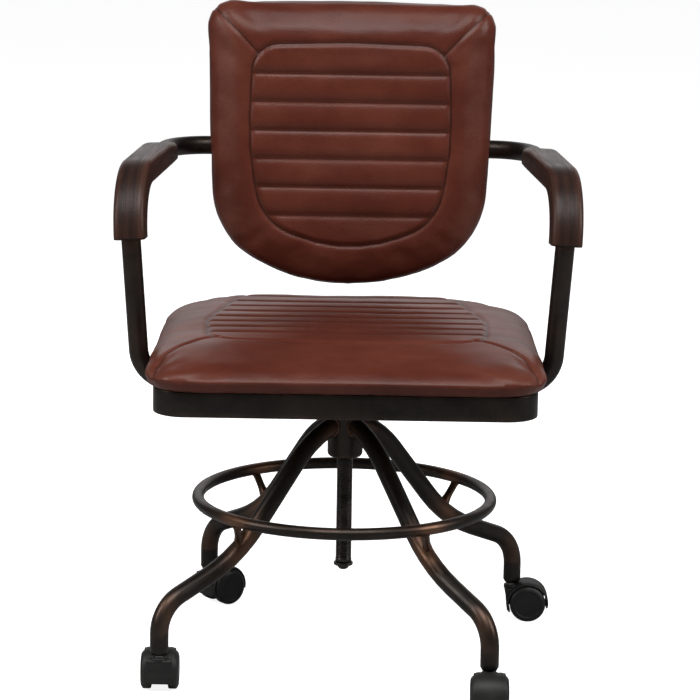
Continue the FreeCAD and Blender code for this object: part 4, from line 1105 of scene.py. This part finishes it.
cushion_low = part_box("seat_cushion")[0]
cushion_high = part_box("seat_cushion")[1]
cushion_steps = [
    (0.0, 14, 16, 14), (0.18, 4, 5, 4), (0.38, 0, 0, 0), (0.6, 5, 12, 4), (0.78, 17, 40, 12),
    (0.91, 38, 82, 24), (1.0, 74, 128, 44),
]
rows = []
tall = cushion_high[2] - cushion_low[2]
for share, side_in, front_in, rear_in in cushion_steps:
    side_in, front_in, rear_in = side_in / 1000 + 0.004, front_in / 1000 + 0.004, rear_in / 1000 + 0.004
    level = cushion_low[2] + tall * share * 0.96
    corner, rear_corner = 0.06 - side_in * 0.4, 0.115 - side_in * 0.5
    route = rounded_route([
        (0, -0.25 + front_in, level), (0.258 - side_in, -0.25 + front_in, level),
        (0.246 - side_in, 0.236 - rear_in, level), (-0.246 + side_in, 0.236 - rear_in, level),
        (-0.258 + side_in, -0.25 + front_in, level),
    ], [0, corner, rear_corner, rear_corner, corner], 6, True)
    rows.append(equal_row(even_steps(route, 0.002, True), 160))
seat_pad = stuffed("seat_pad", rows, cushion_low[2], 0.0045, leather)
fit_box(seat_pad, cushion_low, cushion_high)

panel_corners = [
    (0, -0.128, 0.7), (0.18, -0.112, 0.045), (0.187, 0.02, 0.15), (0.14, 0.222, 0.07),
    (-0.14, 0.222, 0.07), (-0.187, 0.02, 0.15), (-0.18, -0.112, 0.045),
]
panel = [(p.x, p.y) for p in level_outline(panel_corners, 0, 8, 0.02)]
panel.append(panel[0])
corner_run = (
    (0.168, -0.1), (0.19, -0.118), (0.212, -0.145), (0.229, -0.175), (0.239, -0.205), (0.2455, -0.226),
    (0.26, -0.24),
)
corner_seams = [[(side * x, y) for x, y in corner_run] for side in (-1, 1)]
normals, moves = sew(
    seat_pad, panel, corner_seams,
    ribs=(0.1825, 0.0355, 8), middle=0.55, depths=(0.0026, 0.0034, 0.0044, 0.0024),
    area=(0.21, -0.16, 0.24), at_corner=lambda x, y, normal: normal.z > -0.3 and y < -0.06 and abs(x) > 0.16,
    folds=((9, 14, 20), 0.0011, (34, 22, 50)), low=cushion_low[2],
)
sheen_values = []
for index, (vert, normal) in enumerate(zip(seat_pad.data.vertices, normals)):
    x, y, z = vert.co
    if y < -0.235 or abs(x) > 0.235:
        pleat = noise.noise(Vector((x * 120, y * 120, z * 8)))
        moves[index] += 0.0005 * pleat * (1 - min(1.0, (z - cushion_low[2]) / 0.03))
    # Painted highlight: the seat's front roll near 435 mm up and its upward-facing sides are marked for a
    # lighter tone where the lamps' sheen falls.
    roll = bell(z - 0.435, 0.007) * (1 if y < -0.2 else 0.4) if normal.z < 0.75 else 0.0
    sheen_values.append(0.3 * roll + 0.2 * max(0.0, abs(x) - 0.19) / 0.06 * (normal.z > 0.3))
for vert, normal, move in zip(seat_pad.data.vertices, normals, moves):
    vert.co += normal * move
    vert.co.z = min(cushion_high[2] + 0.0005, max(cushion_low[2], vert.co.z))
set_attribute(seat_pad, "sheen_and_wear", sheen_values)
seat_pad.data.update()
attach(seat_pad, "seat")
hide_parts("seat_cushion")

# One long tube makes both arms: it runs behind the back, along each side, bends down in front
# of the sitter and is welded to the seat band. It has the same burnished finish as the legs.
arm, arm_level, arm_low = 0.0127, 0.655, 0.391
right_arm = [
    (0.248, 0.25, arm_level), (0.2855, -0.1, arm_level),
    (0.2685, -0.08, arm_low), (half_seat, -0.08, arm_low),
]
left_arm = [(-x, y, z) for x, y, z in reversed(right_arm)]
bends = [0, 0.045, 0.075, 0.06]
route = even_steps(rounded_route(left_arm + right_arm, bends + bends[::-1], 4), 0.012)
frames = frames_along(route, (0, 0, 1))
points, faces = sweep_mesh(frames, lambda step: circle_outline(arm, 32))
arms = build_mesh("bent_arm_tube", points, faces, bronze)
wear = []
for point in points:
    low_weld = bell(abs(point.x) - half_seat, 0.006) * (point.z < 0.41)
    pads = bell(point.z - 0.58, 0.006) * 0.4 * (point.y < -0.05)
    patch = noise.noise(point * 18) * 0.5 + 0.5
    wear.append(min(1.0, (low_weld + pads + 0.1 * patch) * (0.35 + patch)))
set_attribute(arms, "wear", wear)
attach(arms, "seat")
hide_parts("arm_tube")

joints = []
for side in (-1, 1):
    chain = []
    for index in range(48):
        angle = 2 * math.pi * index / 48
        round_end = (-0.08 + arm * math.cos(angle), arm_low + arm * math.sin(angle))
        chain.append(Vector((side * (half_seat + 0.0003), *round_end)))
    joints.append((chain, True))
bead = run_tree("arm_weld_beads", line_mesh("arm_joints", joints), bead_tree, weld_metal,
                Drop_Size=0.0016, Drop_Spacing=0.0015)
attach(bead, "seat")

# The arm pads are saddles of dark stained wood, grooved to sit on the tube. They narrow towards
# the back, follow the front bend and end square above the upright; the grain runs along them.
dark_wood, tree, shader = new_material("stained_wood", 0.36)
shader.inputs["Specular IOR Level"].default_value = 0.22
grain_map = add_node(tree, "ShaderNodeUVMap", uv_map="grain")
lines = noise_of(tree, 26, 8, 0.65, (0.5, 13, 1), grain_map.outputs[0])
bands = noise_of(tree, 9, 4, 0.6, (0.35, 9, 1), grain_map.outputs[0])
pits = noise_of(tree, 120, 2, 0.5, (0.22, 7, 1), grain_map.outputs[0])
tone = ramp_of(tree, bands, (0.3, (0.011, 0.006, 0.0047)), (0.55, (0.03, 0.0135, 0.0095)),
               (0.8, (0.056, 0.022, 0.014)))
tone = mix_of(tree, ramp_of(tree, lines, (0.45, 0.0), (0.72, 0.75)), tone, (0.007, 0.0042, 0.0035))
rubbed = math_of(tree, "MULTIPLY", attribute_of(tree, "wear"), ramp_of(tree, bands, (0.3, 0.3), (0.7, 1.0)))
tone = mix_of(tree, rubbed, tone, (0.075, 0.03, 0.02))
feed(tree, shader, Base_Color=tone)
feed(tree, shader, Roughness=ramp_of(tree, lines, (0.35, 0.3), (0.7, 0.48)))
pores = math_of(tree, "MULTIPLY", ramp_of(tree, pits, (0.3, 0.0), (0.42, 1.0)), 0.6)
bump_on(tree, shader, math_of(tree, "ADD", lines, pores), 0.3, 0.0006)

pad_half, pad_above, pad_below, pad_end = 0.0205, 0.0195, 0.012, 0.582
groove = arm + 0.0001


def pad_section(top):
    """The pad across the arm, from under one side over the top, and back round the groove."""
    outside = rounded_route([
        (groove, -pad_below, 0), (pad_half, -pad_below, 0), (pad_half, top, 0),
        (-pad_half, top, 0), (-pad_half, -pad_below, 0), (-groove, -pad_below, 0),
    ], [0, 0.0035, 0.0075, 0.0075, 0.0035, 0], 11)
    dense = []
    for here, there in zip(outside, outside[1:]):
        parts = 5 if (there - here).length > 0.004 else 1
        dense += [here.lerp(there, part / parts) for part in range(parts)]
    dense.append(outside[-1])
    inside = [Vector((-groove, -pad_below * share, 0)) for share in (0.66, 0.33, 0.0)]
    for index in range(1, 13):
        angle = math.pi - math.pi * index / 12
        inside.append(Vector((groove * math.cos(angle), groove * math.sin(angle), 0)))
    inside += [Vector((groove, -pad_below * share, 0)) for share in (0.33, 0.66)]
    return [(point.x, point.y) for point in dense + inside]


for label, sign in (("right", 1), ("left", -1)):
    rear, front, low = [Vector((x * sign, y, z)) for x, y, z in right_arm[:3]]
    along = (front - rear).normalized()
    down = (low - front).normalized()
    outward = (along * down.dot(along) - down).normalized()
    across = along.cross(outward)
    begin = rear + along * 0.06
    route = even_steps(rounded_route([begin, front, low], [0, 0.075, 0], 4), 0.005)
    route = [point for point in route if point.z > pad_end]
    steps = []
    walked = 0.0
    for index, point in enumerate(route):
        ahead = (route[min(index + 1, len(route) - 1)] - route[max(index - 1, 0)]).normalized()
        if index:
            walked += (point - route[index - 1]).length
        steps.append((point, across, across.cross(ahead).normalized(), walked))
    last, side, up, walked = steps[-1]
    ahead = (route[-1] - route[-2]).normalized()
    tail = max(0.0, (last.z - pad_end) / max(0.2, -ahead.z))
    first, first_side, first_up, reach = steps[0]
    rings = [(first, first_side, first_up, 0.0, 0.0035)]
    rings.append((first + along * 0.0008, first_side, first_up, 0.0008, 0.0014))
    rings += [(point, side, up, reach, 0.0) for point, side, up, reach in steps[1:]]
    rings.append((last + ahead * (tail - 0.0006), side, up, walked + tail, 0.0008))
    rings.append((last + ahead * tail, side, up, walked + tail + 0.001, 0.003))
    points, grain_uv = [], []
    for point, side, up, reach, inset in rings:
        top = pad_above - 0.009 * max(0.0, 1 - reach / 0.07) ** 1.6
        swell = 1.0 - 0.05 * max(0.0, 1 - reach / 0.05) ** 2
        outline = pad_section(top)
        lap = 0.0
        for index, (x, y) in enumerate(outline):
            solid = abs(x) > groove + 0.0002 or y > groove + 0.0002
            middle_y = (top - pad_below) / 2
            if solid and inset:
                x -= math.copysign(min(inset, abs(x) - groove - 0.001) if abs(x) > groove + 0.001 else 0.0, x)
                y -= math.copysign(inset, y - middle_y) if abs(y - middle_y) > 0.008 else 0.0
            points.append(point + side * (x * (swell if solid else 1.0)) + up * y)
            lap += math.hypot(x - outline[index - 1][0], y - outline[index - 1][1]) if index else 0.0
            grain_uv.append((reach, lap))
    size = len(outline)
    faces = strips(len(rings), size) + end_faces(len(rings), size)
    pad = build_mesh("wooden_arm_pad_" + label, points, faces, dark_wood)
    shape = bmesh.new()
    shape.from_mesh(pad.data)
    bmesh.ops.recalc_face_normals(shape, faces=shape.faces)
    shape.to_mesh(pad.data)
    shape.free()
    grain_layer = pad.data.uv_layers.new(name="grain")
    for corner in pad.data.loops:
        reach, lap = grain_uv[corner.vertex_index]
        grain_layer.data[corner.index].uv = (reach, lap)
    wear = []
    for index, point in enumerate(points):
        x, y = outline[index % size]
        edge = bell(math.hypot(abs(x) - pad_half + 0.003, y - pad_above + 0.003), 0.005)
        wear.append(min(1.0, 0.8 * edge + 0.2 * (noise.noise(point * 40) > 0.25)))
    set_attribute(pad, "wear", wear)
    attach(pad, "seat")
    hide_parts("armrest_" + label)
finish_node(black_steel, "armrest_screws")

# The back is drawn flat (x across, y up, z towards the sitter) and stands reclined by five
# degrees round the rear run of the arm tube. Foam covers a plywood board, wrapped in leather.
back_place = Matrix.Translation((0, 0.25, arm_level)) @ Matrix.Rotation(math.radians(85), 4, "X")


def back_outline(inset, level, turn=5.0, spacing=0.012):
    """The back's flat outline, drawn in all round."""
    half, top, corner = 0.1985 - inset, 0.202 - inset, 0.037 - inset * 0.6
    low_half, low, low_radius = 0.188 - inset, -0.1244 + inset * 0.6, 0.115 - inset
    return level_outline([
        (half, top, corner), (-half, top, corner), (-low_half, low, low_radius),
        (0, -0.2185 + inset * 1.13, 0.27 - inset), (low_half, low, low_radius),
    ], level, turn, spacing)


padding_low, padding_top = 0.018, 0.0757
padding_steps = [(0.0, 11), (0.1, 5), (0.28, 1), (0.46, 0), (0.66, 3), (0.82, 10), (0.94, 24), (1.0, 46)]
rows = []
for share, inset in padding_steps:
    level = padding_low + (padding_top - padding_low) * share * 0.96
    rows.append(equal_row(back_outline(inset / 1000 + 0.004, level, 5, 0.002), 160))
back_pad = stuffed("back_pad", rows, padding_low, 0.0045, leather)
back_edge = back_outline(0, 0, 2, 0.004)
back_foot = min(point.y for point in back_edge)
back_side = max(point.x for point in back_edge)
fit_box(back_pad, (-back_side, back_foot, padding_low), (back_side, 0.202, padding_top))

panel = [(p.x, p.y) for p in level_outline([
    (0.134, 0.1425, 0.038), (0, 0.1465, 0.6), (-0.134, 0.1425, 0.038), (-0.139, 0.0, 0.4),
    (-0.119, -0.1, 0.075), (0, -0.1455, 0.2), (0.119, -0.1, 0.075), (0.139, 0.0, 0.4),
], 0, 8, 0.02)]
panel.append(panel[0])
corner_run = ((0.126, 0.131), (0.15, 0.156), (0.183, 0.187), (0.2, 0.2))
corner_seams = [[(sign * x, y) for x, y in corner_run] for sign in (-1, 1)]
board_edge = [(p.x, p.y) for p in back_outline(0.0122, 0)]
board_edge.append(board_edge[0])
normals, moves = sew(
    back_pad, panel, corner_seams,
    ribs=(0.1035, 0.0387, 6), middle=1.0, depths=(0.0028, 0.0036, 0.0052, 0.0022),
    area=(1, -1, 1), at_corner=lambda x, y, normal: normal.z > -0.2 and y > 0.12 and abs(x) > 0.11,
    folds=((9, 11, 20), 0.0012, (30, 26, 50)), low=padding_low,
)
sheen_values = []
for vert, normal in zip(back_pad.data.vertices, normals):
    # Painted highlight: two upright bands on the back's face, over the side bolsters, are marked for a
    # lighter tone where the side lamps' sheen falls.
    sheen_values.append(0.2 * bell(abs(vert.co.x) - 0.165, 0.014) * (normal.z > 0.3) * (vert.co.y > -0.12))
for vert, normal, move in zip(back_pad.data.vertices, normals, moves):
    vert.co += normal * move
    if vert.co.z < 0.028 and normal.z < -0.5 and inside((vert.co.x, vert.co.y), board_edge):
        vert.co.z = 0.0302
    vert.co.z = max(padding_low, vert.co.z)
back_pad.data.transform(back_place)
set_attribute(back_pad, "sheen_and_wear", sheen_values)
back_pad.data.update()
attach(back_pad, "seat")
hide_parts("back_cushion")

# Behind the board lies a thin leather-covered panel with a soft edge. Two steel straps hold the
# back to the tube, each with four round-headed screws through the panel into the board.
cover_low, cover_high = 0.0127, 0.0177
rows = []
for inset, level in (
    (0.08, cover_low), (0.026, cover_low), (0.0185, cover_low), (0.0155, cover_low),
    (0.0122, cover_low + 0.0007), (0.0105, cover_low + 0.0022), (0.01, cover_low + 0.0036),
    (0.0103, cover_high),
):
    rows.append(equal_row(back_outline(inset, level, 5, 0.002), 240))
points, faces = rows_mesh(rows)
points, faces = recalculated(points, faces)
cover = build_mesh("rear_leather_panel", [back_place @ point for point in points], faces, leather)
for name, value in (("panel_edge", 0.05), ("corner_seam", 0.05), ("rib", 0.5)):
    set_attribute(cover, name, [value] * len(points))
set_attribute(cover, "sheen_and_wear", [0.25 * (noise.noise(point * 20) > 0.2) for point in points])
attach(cover, "seat")
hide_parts("back_cover")
finish_node(bronze, "back_clamp_left", "back_clamp_right")
finish_node(black_steel, "back_screws")
